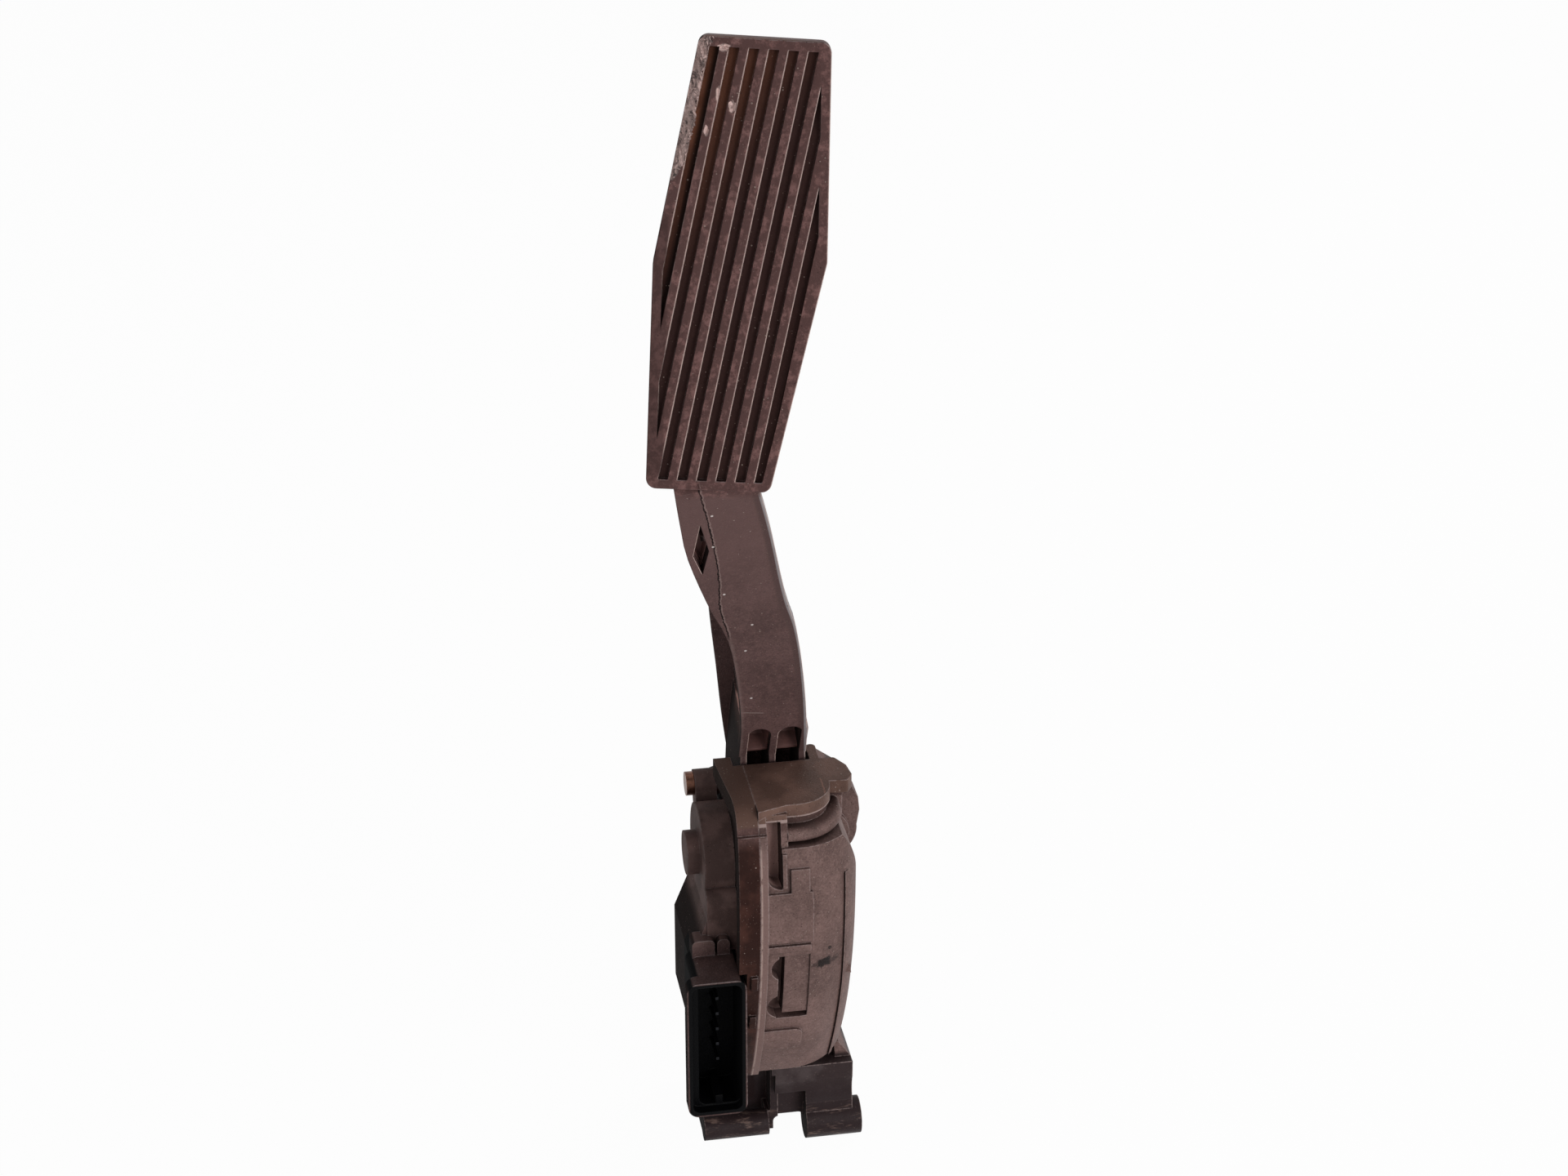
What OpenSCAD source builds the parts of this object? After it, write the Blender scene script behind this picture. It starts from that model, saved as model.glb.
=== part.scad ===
// Accelerator pedal module: a lever with a ribbed foot pad, hinged in a two-part
// moulded housing, with return springs and a contactless position sensor.
// Millimetres. X runs across the car, Y from the driver to the bulkhead, and Z from
// the housing to the pad. The origin lies on the mounting face, behind the pivot.

/* [Pivot and travel] */
// Distance from the mounting face to the pivot axis
pivot_depth = 35; // [34:0.5:37]
// Angle that the lever turns from idle to full throttle, in degrees
travel = 15; // [12:0.5:16]
// Radius of the pivot shaft
shaft_r = 5; // [4:0.25:5.5]
// Radial running clearance of the shaft in its bushes
running_gap = 0.05; // [0.02:0.01:0.1]
// Clearance between pieces that are assembled together
fit_gap = 0.1; // [0.05:0.05:0.2]
// Clearance between pieces that move past each other
move_gap = 0.4; // [0.3:0.1:0.6]

/* [Housing] */
// Wall thickness of the moulded shells
wall = 2.2; // [1.8:0.1:2.6]
// Radius of the curved front, seen from the side
front_r = 114; // [108:1:120]
// Largest reach of the rounded right side
barrel_x = 22.8; // [22.4:0.1:23.6]
// Radius of the rounded front right edge
corner_r = 17; // [12:1:18]
// Outer face of the narrow rear part on the right
rear_x = 16; // [15.5:0.5:17]
// Plane in which the two shells meet
part_x = -5; // [-5.2:0.1:-4.8]
// Width of the rim on the right shell
rim_w = 2; // [1.6:0.1:2.4]
// Height of the top plate above the pivot
top_z = 27; // [26:0.5:28]
// Thickness of the top plate
top_t = 3.7; // [3:0.1:4]
// Height of the neck below the top plate
neck_h = 6.8; // [6:0.2:7.4]
// Lowest point of the enclosed body
body_bottom = -62.5; // [-66:0.5:-61]
// Thickness of the mounting plate
plate_t = 4; // [3:0.5:5]

/* [Mounting] */
// Radius of the hole in each mounting sleeve
sleeve_bore_r = 3.3; // [2.7:0.1:4.2]
// Wall thickness of a mounting sleeve
sleeve_wall = 1.5; // [1:0.1:2]
// Length of a mounting sleeve
sleeve_len = 10; // [8:0.5:14]
// Radius of the eyelets that hold the sleeves
eyelet_r = 8.9; // [8.5:0.1:10]
// Place of the upper eyelet across the car
upper_eye_x = 22.6; // [22.4:0.2:23.6]
// Height of the upper eyelet
upper_eye_z = -13.4; // [-15:0.2:-12]
// Place of the lower eyelet across the car
lower_eye_x = -8; // [-9:0.5:-6]
// Height of the lower eyelet
lower_eye_z = -78; // [-80:0.5:-76]
// Width of the guide slot in the foot
slot_w = 8.6; // [7:0.2:10]

/* [Pad] */
// Length of the foot pad
pad_len = 104; // [98:1:110]
// Width of the foot pad across its two side corners
pad_w = 40; // [37:1:43]
// Depth of the pad's side wall
pad_depth = 7; // [6:0.5:9]
// Thickness of the pad's front plate
pad_t = 3.4; // [3:0.2:5]
// Number of full-length grooves
groove_count = 8; // [6:1:9]
// Distance from one groove to the next
groove_pitch = 4.4; // [4:0.1:4.8]
// Width of a groove
groove_w = 2.3; // [1.8:0.1:2.8]
// Depth of a groove
groove_depth = 1.6; // [1:0.1:2]
// Flat border round the grooves
pad_border = 2.2; // [2:0.1:3]
// Backward tilt of the pad, in degrees
pad_tilt = 12.3; // [10:0.5:16]

/* [Arm] */
// Forward lean of the arm, in degrees
arm_lean = 26.3; // [24:0.5:28]
// Width of the arm where it leaves the housing
arm_root_w = 17.8; // [16:0.2:18.4]
// Depth of the arm from its front to its rear flange
arm_depth = 20; // [17:0.5:21]
// Thickness of the arm's flanges
flange_t = 2.8; // [2.2:0.2:3.4]
// Distance between the cross ribs of the arm
rib_pitch = 13; // [10:0.5:18]
// Thickness of the ribs of the arm and the pad
rib_t = 1.8; // [1.4:0.1:2.4]

/* [Sensor and connector] */
// Radius of the round sensor cup
cup_r = 13; // [12:0.5:14]
// Depth of the sensor cup
cup_depth = 8; // [7.5:0.5:9]
// Width of the connector shroud
shroud_w = 15.8; // [14:0.2:17]
// Height of the connector shroud
shroud_h = 41.5; // [38:0.5:44]
// Wall thickness of the connector shroud
shroud_wall = 1.3; // [1.2:0.1:2]
// Depth of the connector socket
socket_depth = 15; // [10:0.5:16]
// Number of connector pins
pin_count = 6; // [4:1:8]
// Distance from one pin to the next
pin_pitch = 4.7; // [3:0.1:4.8]
// Side of a square pin
pin_side = 0.8; // [0.6:0.1:1.2]

/* [Springs] */
// Outer radius of the outer spring
outer_spring_r = 8.8; // [8:0.2:9.2]
// Wire radius of the outer spring
outer_wire_r = 0.95; // [0.7:0.05:1.1]
// Outer radius of the inner spring
inner_spring_r = 5.8; // [5:0.2:6]
// Wire radius of the inner spring
inner_wire_r = 0.7; // [0.5:0.05:0.8]
// Length of the springs at idle
spring_len = 33; // [30:0.5:34]
// Distance of the spring axis from the pivot
spring_arm = 35; // [33:0.5:36]

/* [Hidden] */
$fn = 96;
cut = 0.01;

housing_colour = [0.27, 0.22, 0.21];
cover_colour = [0.22, 0.18, 0.18];
lever_colour = [0.29, 0.24, 0.24];
steel_colour = [0.72, 0.72, 0.74];

// The curved front is a cylinder about this axis
front_axis_y = front_r - 66;
front_axis_z = -1.2;
body_top = top_z - top_t - neck_h;
rim_x = part_x + rim_w;
rim_proud = 1.2;
rim_top_r = 6;
upper_bay_depth = 6;
lower_bay_depth = 4.6;
side_x = part_x - 3.5;
strip_x = part_x - 5.6;
side_plate_t = 2;
barrel_back_r = front_axis_y + 23;
shoulder_r = 38;
shoulder_z = -3;
nose = [5.6, -50.6];
nose_r = 10;
opening_y = -38.6;
stop_front = -37.1;
floor_back = body_bottom - 8;
slope_y = -19;
slope_drop = 10.5;
collar_z = top_z - 8;
collar_r = 2;
collar_x = 2.6;
tongue_x = 12.7;
tongue_r = 1.3;
tongue_len = 6.5;
block_proud = 0.9;
back_top = body_top - slope_drop + 1;
floor_break_y = -40;
taper_z = -30;

// The lever inside the housing
lever_x = side_x + side_plate_t + 1.1;
hub_r = shaft_r + 4.3;
bush_r = shaft_r + 1.5;
hub_x = barrel_x - wall - 3.4;
spring_x = 3.6;
tail_angle = -60;
stop_z = -3;
stop_y = -22;
track_r = 31.4;
track_x = 13.2;
lining_t = 1.6;
shoe_t = 2.4;
tail_t = 5;
tail_w = 2 * outer_spring_r - 1.4;
seat_t = 1.6;
seat_r = outer_spring_r + 0.3;

// The arm's own frame starts on the middle of its front face at the housing
arm_root = [3.1, -38, 31];
arm_len = 112;
arm_left = [[-9, -8.8], [7, -8.8], [16.5, -9.5], [36.5, -12.3], [50, -15.2], [62, -20], [84, -27],
    [96, -29.3], [112, -31.8]];
arm_right = [[-24, 9], [-9, 9], [2.7, 8.7], [26.8, 6.1], [51.8, 2], [64, -1.4], [92.3, -7.4], [112, -12.2]];
arm_rear_left = [[-24, -8], [-9, -10.2], [13, -13], [29, -15.2], [41, -16.7], [62, -19.6], [84, -23.6],
    [118, -29.5]];
arm_middle = [[-24, 0.6], [-9, 0.4], [7, 0], [26.8, -2.2], [51.8, -7.2], [64, -10], [92.3, -16.6], [118, -22]];
rear_flange_w = 15;
rib_inset = 0.6;
pocket_s = 9;
pocket_r = 3.15;
web_t = 3;
spine_x = -4.2;
spine_depth = 19;
spine_top = 22;
spine_foot = -42;

// The pad's own frame starts at the middle of its front face
pad_reach = arm_len + 40.8;
pad_back = 29.8;
pad_centre = arm_root + [-15, pad_back * cos(arm_lean) - pad_reach * sin(arm_lean),
    pad_back * sin(arm_lean) + pad_reach * cos(arm_lean)];
pad_roll = 1.9;
pad_yaw = -9;
groove_angle = 10.5;
pad_corner_r = 2.4;
pad_corners = [[-9.8, 51.9], [19.8, 51], [20.4, 1.4], [8.8, -52.5], [-19.9, -52.1], [-19.3, 0.3]];

// The sensor side
shroud_x = side_x - shroud_w;
shroud_top = -21;
shroud_front = -66;
shroud_back = -49;
shroud_step = 2;
cup_x = side_x - cup_depth;
knob_r = 5.9;
knob_x = cup_x - 3.4;
cover_x = side_x - 12.6;
cavity_x = side_x - 6;
board_x = cavity_x + 0.1;
board_t = 1.4;
shaft_x = side_x - 1.8;
pin_x = side_x - 7.6;
pin_top = shroud_top - 3.9;
pin_front = -61;
pin_back = -44.4;
screw_spots = [[-20, 12], [-15.4, -34], [-24, -62.8]];
screw_head_x = -17.4;
ear_x = screw_head_x + 2.2;
ear_t = side_x - 1 - ear_x;
screw_boss_r = 3.7;

// The foot
foot_front = -36;
foot_right = 25.5;
foot_left = -15.6;
foot_top = -71;
lip_r = 5.2;
lip_z = -90.8;
left_lip_r = 3.6;
slot_x = 8.2;
slot_top = -88.8;

function front_y(z, r) = front_axis_y - sqrt(r * r - pow(z - front_axis_z, 2));
// Smooth curve through control points, each a station and a value
function curve(p, s, i = 1) = s > p[i][0] && i < len(p) - 1 ? curve(p, s, i + 1)
    : let (a = p[i - 1], b = p[i], t = (s - a[0]) / (b[0] - a[0]), w = b[0] - a[0],
        m0 = slope(p, i - 1) * w, m1 = slope(p, i) * w)
    (2 * t * t * t - 3 * t * t + 1) * a[1] + (t * t * t - 2 * t * t + t) * m0
    + (3 * t * t - 2 * t * t * t) * b[1] + (t * t * t - t * t) * m1;
function shifted(p, d) = [for (q = p) [q[0], q[1] + d]];
function slope(p, i) = let (a = p[max(0, i - 1)], b = p[min(len(p) - 1, i + 1)])
    (b[1] - a[1]) / (b[0] - a[0]);

// Extrudes a side view, drawn as Y and Z, from x0 to x1
module along_x(x0, x1) {
    translate([x0, 0, 0]) rotate([90, 0, 90]) linear_extrude(x1 - x0) children();
}

// Extrudes a front view, drawn as X and Z, from y0 to y1
module along_y(y0, y1) {
    translate([0, y1, 0]) rotate([90, 0, 0]) linear_extrude(y1 - y0) children();
}

// Extrudes a plan, drawn as X and Y, from z0 to z1
module along_z(z0, z1) {
    translate([0, 0, z0]) linear_extrude(z1 - z0) children();
}

// Round bar along X
module rod_x(x0, x1, r) {
    translate([x0, 0, 0]) rotate([0, 90, 0]) cylinder(h = x1 - x0, r = r);
}

// Round bar along Y
module rod_y(y0, y1, r) {
    translate([0, y1, 0]) rotate([90, 0, 0]) cylinder(h = y1 - y0, r = r);
}

module at_pivot() {
    translate([0, -pivot_depth, 0]) children();
}

function unit(v) = v / norm(v);

// Convex polygon with round corners
module round_poly(points, r) {
    n = len(points);
    ends = [for (i = [0 : n - 1])
        let (a = unit(points[(i + n - 1) % n] - points[i]), b = unit(points[(i + 1) % n] - points[i]),
            reach = r / tan(acos(a * b) / 2))
        each [points[i] + a * reach, points[i] + b * reach]];
    polygon(ends);
    for (i = [0 : n - 1])
        let (a = unit(points[(i + n - 1) % n] - points[i]), b = unit(points[(i + 1) % n] - points[i]))
            translate(points[i] + unit(a + b) * r / sin(acos(a * b) / 2)) circle(r);
}

// Rectangle with round corners, from its low to its high corner
module round_rect(low, high, r) {
    translate([low[0], low[1] + r]) square([high[0] - low[0], high[1] - low[1] - 2 * r]);
    translate([low[0] + r, low[1]]) square([high[0] - low[0] - 2 * r, high[1] - low[1]]);
    for (x = [low[0] + r, high[0] - r], y = [low[1] + r, high[1] - r])
        translate([x, y]) circle(r);
}

// Part of a ring between two angles
module ring_sector(r_in, r_out, from, to) {
    reach = 2 * r_out;
    intersection() {
        difference() {
            circle(r_out);
            circle(r_in);
        }
        polygon([[0, 0], for (a = [from, (from + to) / 2, to]) reach * [cos(a), sin(a)]]);
    }
}

// Solid cylinder behind a front face of radius r
module front_drum(r, x0, x1) {
    translate([0, front_axis_y, front_axis_z]) rod_x(x0, x1, r);
}

// Section of the right shell through the drum's axis, drawn as radius and X
module shell_section(inset) {
    corner = front_r - corner_r;
    inner = 20;
    translate([inner, part_x - cut])
        square([front_r - inset - inner, barrel_x - corner_r - part_x + cut]);
    translate([inner, part_x - cut])
        square([corner - inner, rear_x - inset - part_x + cut]);
    translate([barrel_back_r + inset, part_x - cut])
        square([corner - barrel_back_r - inset, barrel_x - inset - part_x + cut]);
    translate([corner, barrel_x - corner_r]) circle(corner_r - inset);
}

// Side view of the enclosed body down to its floor
module body_side(inset, back, top) {
    polygon([[-90, top], [slope_y, top], [back, top - slope_drop], [back, floor_back + inset],
        [floor_break_y, body_bottom + inset], [-90, body_bottom + inset]]);
}

// Front view of the body with its rounded right shoulder
module body_front(inset) {
    polygon([[-30, shoulder_z], [barrel_x - inset, shoulder_z], [barrel_x - inset, taper_z],
        [barrel_x - 0.4 - inset, floor_back], [-30, floor_back - 5]]);
    translate([barrel_x - shoulder_r, shoulder_z]) circle(shoulder_r - inset);
}

// The right shell's form, or its hollow when it is inset by the wall
module shell_form(inset, back, top) {
    intersection() {
        translate([0, front_axis_y, front_axis_z]) rotate([0, 90, 0])
            rotate_extrude() shell_section(inset);
        along_x(part_x, barrel_x + 1) body_side(inset, back, top);
        along_y(-90, 1) body_front(inset);
    }
}

// Side view shared by the rims of both shells
module rim_side(inset) {
    intersection() {
        translate([front_axis_y, front_axis_z]) circle(front_r + rim_proud - inset);
        union() {
            polygon([[-90, top_z - rim_top_r], [opening_y + 6, top_z - rim_top_r],
                [slope_y, body_top], [-plate_t, back_top], [-plate_t, floor_back + inset], [floor_break_y, body_bottom + inset],
                [-90, body_bottom + inset]]);
            translate([-64 + rim_top_r, top_z - rim_top_r - cut])
                square([opening_y + 64 - rim_top_r, rim_top_r - inset + cut]);
            translate([-64 + rim_top_r, top_z - rim_top_r]) circle(rim_top_r - inset);
        }
    }
}

// A raised or sunk area of the front: its outline in X and Z, and the drum radius
module on_front(r) {
    intersection() {
        along_y(-80, -38) children();
        front_drum(r, part_x, barrel_x);
    }
}

// Plan of the top plate with its round nose and its wing
module top_plate_plan(grow) {
    translate(nose) circle(nose_r + grow);
    translate([part_x, nose[1]]) square([nose[0] + nose_r + grow - part_x, opening_y - nose[1]]);
    translate([part_x, nose[1] - nose_r - grow]) square([nose[0] - part_x, nose_r + grow]);
}

// Plan of the top plate's square front corner and its wing
module top_plate_edges() {
    polygon([[part_x, -63], [2.6, -60.6], [2.6, nose[1]], [part_x, nose[1]]]);
    round_poly([[8, opening_y], [8, -52.6], [14.4, -50.2], [20.4, -50.7], [22, -48], [21.4, -43],
        [19, opening_y]], 0.9);
}

module main_housing() {
    color(housing_colour) difference() {
        union() {
            difference() {
                union() {
                    shell_form(0, 0, body_top);
                    neck();
                    shell_rim();
                    front_blocks();
                }
                shell_form(wall, -plate_t, body_top - wall);
                neck_hollow();
                arm_opening();
            }
            mounting_plate();
            foot();
            bay_backing();
            inner_bosses();
        }
        front_recesses();
        eyelet_holes();
        at_pivot() rod_x(hub_x, barrel_x - wall, bush_r + fit_gap / 2);
    }
    color(housing_colour) top_plate();
}

// Rim along the parting plane, proud of the front
module shell_rim() {
    difference() {
        along_x(part_x, rim_x) rim_side(0);
        along_x(part_x - 1, rim_x + 1) rim_side(wall + rim_proud);
    }
}

// Top plate with its wing and a tongue beside the arm
module top_plate() {
    along_z(top_z - top_t, top_z) {
        top_plate_plan(0);
        top_plate_edges();
        translate([tongue_x, opening_y - cut]) square([2 * tongue_r, tongue_len]);
        translate([tongue_x + tongue_r, opening_y + tongue_len]) circle(tongue_r);
    }
}

// Neck below the top plate, with a round collar below the nose
module neck() {
    reach = nose_r + 1;
    along_z(body_top - wall, top_z - top_t + cut) {
        top_plate_plan(-0.9);
        translate([14, -47.6]) square([5.6, 47.6 + opening_y]);
    }
    along_z(collar_z - collar_r, collar_z + collar_r) intersection() {
        top_plate_plan(1);
        translate([collar_x, -90]) square([60, 90 + opening_y]);
    }
    intersection() {
        translate([nose[0], nose[1], collar_z]) rotate_extrude() translate([reach, 0]) circle(collar_r);
        translate([nose[0] - 0.05, -90, collar_z - 5]) cube([30, 90, 10]);
    }
    translate([0, nose[1] - reach, collar_z]) rod_x(collar_x, nose[0], collar_r);
    translate([nose[0] + reach, 0, collar_z]) rod_y(nose[1], opening_y, collar_r);
}

module neck_hollow() {
    along_z(body_top - 2 * wall, top_z - top_t) intersection() {
        top_plate_plan(-0.9 - wall);
        translate([part_x - 1, -90]) square([60, 90 + opening_y - wall]);
    }
}

// Blocks and ledges raised on the front next to the rim
module front_blocks() {
    on_front(front_r + block_proud) {
        translate([part_x, -10.6]) square([13.8, 13]);
        translate([2.9, 2.4]) square([4.9, 8.6]);
        translate([0.8, 6]) square([1.1, 9.4]);
        translate([part_x, 2.4]) square([13.6, 2]);
        round_rect([part_x, -50.6], [7.3, -42.4], 2.2);
        translate([part_x, -13.7]) square([13.2, 2]);
    }
    intersection() {
        along_y(-80, -38) polygon([[17.9, 6], [18.9, 6], [18.9, -30], [18, -62], [17, -62], [17.9, -30]]);
        shell_form(-0.6, 0, body_top);
    }
}

// Sunk areas of the front: the upper bay and the keyhole-edged bay
module front_recesses() {
    intersection() {
        along_y(-80, -38) upper_bay(0);
        ring_behind(front_r + 3, front_r - upper_bay_depth);
    }
    difference() {
        intersection() {
            along_y(-80, -38) keyhole_bay(0);
            ring_behind(front_r + 3, front_r - lower_bay_depth);
        }
        intersection() {
            along_y(-80, -38) translate([1.6, -36.4]) square([9, 20.6]);
            front_drum(front_r - 0.7, part_x, barrel_x);
        }
    }
}

// Walls behind the two bays
module bay_backing() {
    intersection() {
        along_y(-80, -38) {
            upper_bay(1.8);
            keyhole_bay(1.8);
        }
        union() {
            ring_behind(front_r - 1, front_r - lower_bay_depth - 1.8);
            intersection() {
                ring_behind(front_r - 1, front_r - upper_bay_depth - 1.8);
                translate([-30, -90, 0]) cube([60, 90, 40]);
            }
        }
    }
}

// Outline of the upper bay, with a quarter round below
module upper_bay(grow) {
    width = 3.8;
    translate([rim_x - grow, 9 - grow]) square([width + 2 * grow, top_z - top_t - 9 + 2 * grow]);
    intersection() {
        translate([rim_x + width, 9]) circle(width + grow);
        translate([rim_x - grow, -2]) square([width + 2 * grow, 20]);
    }
}

// Ring between two drum radii
module ring_behind(r_out, r_in) {
    difference() {
        front_drum(r_out, part_x - 1, barrel_x + 1);
        front_drum(r_in, part_x - 2, barrel_x + 2);
    }
}

// Outline of the lower bay: two round lobes with a waist between them
module keyhole_bay(grow) {
    difference() {
        union() {
            translate([2.3, -19.8]) circle(4.2 + grow);
            translate([1.9, -33.4]) circle(4.5 + grow);
            translate([0 - grow, -37.9 - grow]) square([8.2 + 2 * grow, 22.4 + 2 * grow]);
        }
        translate([-4, -26.4]) circle(4.1 - grow);
    }
}

// Opening in the top and the back through which the arm moves
module arm_opening() {
    along_x(part_x - 5, rear_x - wall)
        polygon([[opening_y, top_z + 4], [opening_y, body_top - wall - 1], [slope_y, body_top - wall - 1],
            [-plate_t, body_top - slope_drop - wall - 1], [-plate_t, top_z + 4]]);
}

module mounting_plate() {
    along_y(-plate_t, 0) difference() {
        polygon([[part_x, back_top], [16, back_top], [24, -2], [24, -30], [22, -60], [foot_right, foot_top],
            [foot_right, lip_z], [foot_left, lip_z], [foot_left, foot_top], [part_x, -66]]);
        slot_view();
    }
    along_y(-8, 0) {
        polygon([[12, 4], [15.6, 8.3], [20.6, 8.3], [28.6, 2.4], [31.8, -4], [32.2, -8], [31.2, -14],
            [28.4, -20], [20, -30], [12, -30]]);
        translate([upper_eye_x, upper_eye_z]) circle(eyelet_r);
    }
    translate([upper_eye_x, 0, upper_eye_z]) rod_y(-sleeve_len, -7, eyelet_r - 2.4);
    translate([lower_eye_x, 0, lower_eye_z]) rod_y(-sleeve_len, 0, eyelet_r - 1.6);
}

module slot_view() {
    translate([slot_x - slot_w / 2, lip_z - 20])
        square([slot_w, slot_top - 1.6 - lip_z + 20]);
    round_rect([slot_x - slot_w / 2, slot_top - 5], [slot_x + slot_w / 2, slot_top], 1.6);
}

// Foot below the body: a ledge, a front wall, two lips and the guide slot
module foot() {
    low = slot_top + 9;
    difference() {
        union() {
            translate([3, foot_front, foot_top - wall]) cube([foot_right - 3, -foot_front - cut, wall]);
            translate([4, foot_front, low]) cube([foot_right - 4, 3, foot_top - low - 1]);
            translate([slot_x + slot_w / 2, foot_front, lip_z])
                cube([foot_right - slot_x - slot_w / 2, 3, low - lip_z + 1]);
            translate([4, foot_front + 4, slot_top - 2]) cube([slot_w + 1, 2, low - slot_top + 3]);
            translate([4.5 - 12, foot_front + 9, lip_z]) cube([12, 2, foot_top - lip_z]);
            translate([0, foot_front + 3, lip_z]) rod_x(slot_x + slot_w / 2, foot_right + 2.4, lip_r);
            translate([0, foot_front + 3, lip_z + 0.6])
                rod_x(foot_left, slot_x - slot_w / 2 - 1.6, left_lip_r);
            for (x = [foot_left, slot_x - slot_w / 2 - wall])
                translate([x, foot_front + 3, lip_z - 2]) cube([wall, -foot_front - 3 - cut, 6]);
            for (x = [3, foot_right - wall])
                translate([x, foot_front + 3, lip_z])
                    cube([wall, -foot_front - 3 - cut, foot_top - lip_z]);
            along_y(foot_front + 3, -2)
                polygon([[20.7, -66], [22, -66], [foot_right, foot_top], [21.2, foot_top - 1]]);
        }
        along_y(foot_front - 10, 1) slot_view();
        translate([0, foot_front - 9.2, -79.6]) rod_x(4 - cut, foot_right + 1, 10);
    }
}

module eyelet_holes() {
    for (eye = [[upper_eye_x, upper_eye_z], [lower_eye_x, lower_eye_z]])
        translate([eye[0], 0, eye[1]])
            rod_y(-sleeve_len - 1, 1, sleeve_bore_r + sleeve_wall + fit_gap / 2);
}

// Bearing boss, friction track and stop ledge inside the right shell
module inner_bosses() {
    at_pivot() rod_x(hub_x + 1.6, barrel_x - wall + cut, bush_r + 1.8);
    at_pivot() along_x(track_x - 0.2, barrel_x - wall + cut)
        ring_sector(track_r + lining_t + fit_gap, track_r + lining_t + 2.4, -128, -70);
    translate([part_x + 1, stop_y, stop_z - 5]) cube([rear_x - part_x - 2, -plate_t - stop_y + cut, 5]);
    for (x = [part_x + 1, rear_x - wall - 2])
        translate([x, 0, 0]) along_x(0, 2)
            polygon([[-12, stop_z - 4], [-plate_t + cut, stop_z - 4], [-plate_t + cut, stop_z - 12]]);
}

module side_cover() {
    color(cover_colour) difference() {
        union() {
            along_x(side_x, side_x + side_plate_t) rim_side(0);
            difference() {
                along_x(side_x + 1, part_x) rim_side(0);
                along_x(side_x, part_x + 1) rim_side(wall + rim_proud);
                translate([side_x, opening_y, 10]) cube([8, 40, 30]);
            }
            difference() {
                along_x(strip_x, side_x + 1) rim_side(0);
                along_x(strip_x - 1, side_x + 2) rim_side(4.6);
                translate([strip_x - 1, opening_y, -90]) cube([8, 60, 150]);
                translate([strip_x - 1, -90, -90]) cube([8, 90, 90 + shroud_top + 1.6]);
            }
            top_lip();
            snap_clips();
            for (spot = screw_spots)
                translate([0, spot[0], spot[1]]) rod_x(ear_x + ear_t + 0.02, side_x + 1, screw_boss_r);
        }
        at_pivot() rod_x(side_x - 1, part_x, bush_r + fit_gap / 2);
        for (spot = screw_spots)
            translate([0, spot[0], spot[1]]) rod_x(screw_head_x, part_x + 1, 1.52);
    }
}

// Small hooks on the front edge that hold the two shells together
module snap_clips() {
    for (z = [-22.6, -36.9])
        intersection() {
            translate([side_x + 1, -70, z - 2.2]) cube([1.8, 20, 4.4]);
            front_drum(front_r + rim_proud + 1, side_x, part_x);
        }
}

// Flared lip of the left shell beside the arm
module top_lip() {
    along_z(top_z - 5, top_z)
        polygon([[side_x + 1, -57], [strip_x, -55], [strip_x - 1.4, -37], [strip_x - 1.4, -34],
            [side_x + 1, -34]]);
}

module sensor_cover() {
    color(cover_colour) difference() {
        union() {
            at_pivot() rod_x(cup_x, side_x, cup_r);
            at_pivot() rod_x(knob_x, cup_x + 1, knob_r);
            along_x(cup_x, side_x) cover_side();
            bulge();
            along_y(shroud_front, shroud_front + 4)
                round_rect([shroud_x, shroud_top - shroud_h], [side_x - 0.1, shroud_top], 3);
            along_y(shroud_front, shroud_back)
                round_rect([shroud_x + shroud_step, shroud_top - shroud_h + 0.4],
                    [side_x - 0.1, shroud_top], 3);
            for (x = [[shroud_x + 3.4, shroud_x + 9.4], [shroud_x + 10, side_x - 2.4]])
                along_y(shroud_back - 4, shroud_back + 1)
                    round_rect([x[0], shroud_top - 4], [x[1], shroud_top + 4.6], 1.4);
            for (spot = screw_spots)
                cover_ear(spot);
        }
        along_x(cavity_x, side_x + 1) cavity_side(0);
        along_x(cover_x + 2, cavity_x + 1) round_rect([-46, -52], [-26, -26], 2);
        along_y(shroud_front - 1, shroud_front + socket_depth) socket_view(shroud_step);
        along_y(shroud_front - 1, shroud_front + 3) socket_view(0);
        along_x(side_x - 0.8, side_x + 1) seal_ring(0.05);
        for (spot = screw_spots)
            translate([0, spot[0], spot[1]]) rod_x(screw_head_x, side_x, 1.52);
        pin_row(pin_side + 0.04, -0.02);
    }
    color(cover_colour) along_y(shroud_front + 3, shroud_front + socket_depth + cut)
        translate([pin_x - 0.6, shroud_top - shroud_h + shroud_wall - cut]) square([2, 3]);
}

// Front view of the socket
module socket_view(step) {
    round_rect([shroud_x + shroud_wall + step, shroud_top - shroud_h + shroud_wall + step / 4],
        [side_x - 0.1 - shroud_wall, shroud_top - shroud_wall], 2);
}

// Ear through which a screw holds the sensor cover
module cover_ear(spot) {
    toward = unit([-33, -22] - spot);
    side = [-toward[1], toward[0]] * (screw_boss_r - 0.4);
    intersection() {
        along_x(ear_x, ear_x + ear_t) {
            translate(spot) circle(screw_boss_r);
            polygon([spot + side, spot - side, spot - side + toward * 8, spot + side + toward * 8]);
        }
        translate([-30, -90, -90]) cube([60, 90, 180]);
    }
}

// Deeper part of the cover, chamfered towards the cup
module bulge() {
    intersection() {
        along_x(cover_x, side_x) bulge_side();
        along_y(-60, -10)
            polygon([[side_x, -8], [cup_x, -12.5], [cover_x, -24], [cover_x, -46], [cover_x + 2, -53],
                [side_x, -60]]);
    }
}

// Side view of the flat cover between the cup and the connector
module cover_side() {
    round_rect([shroud_back - 1.5, -58.9], [-20.5, -4], 3);
}

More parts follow.
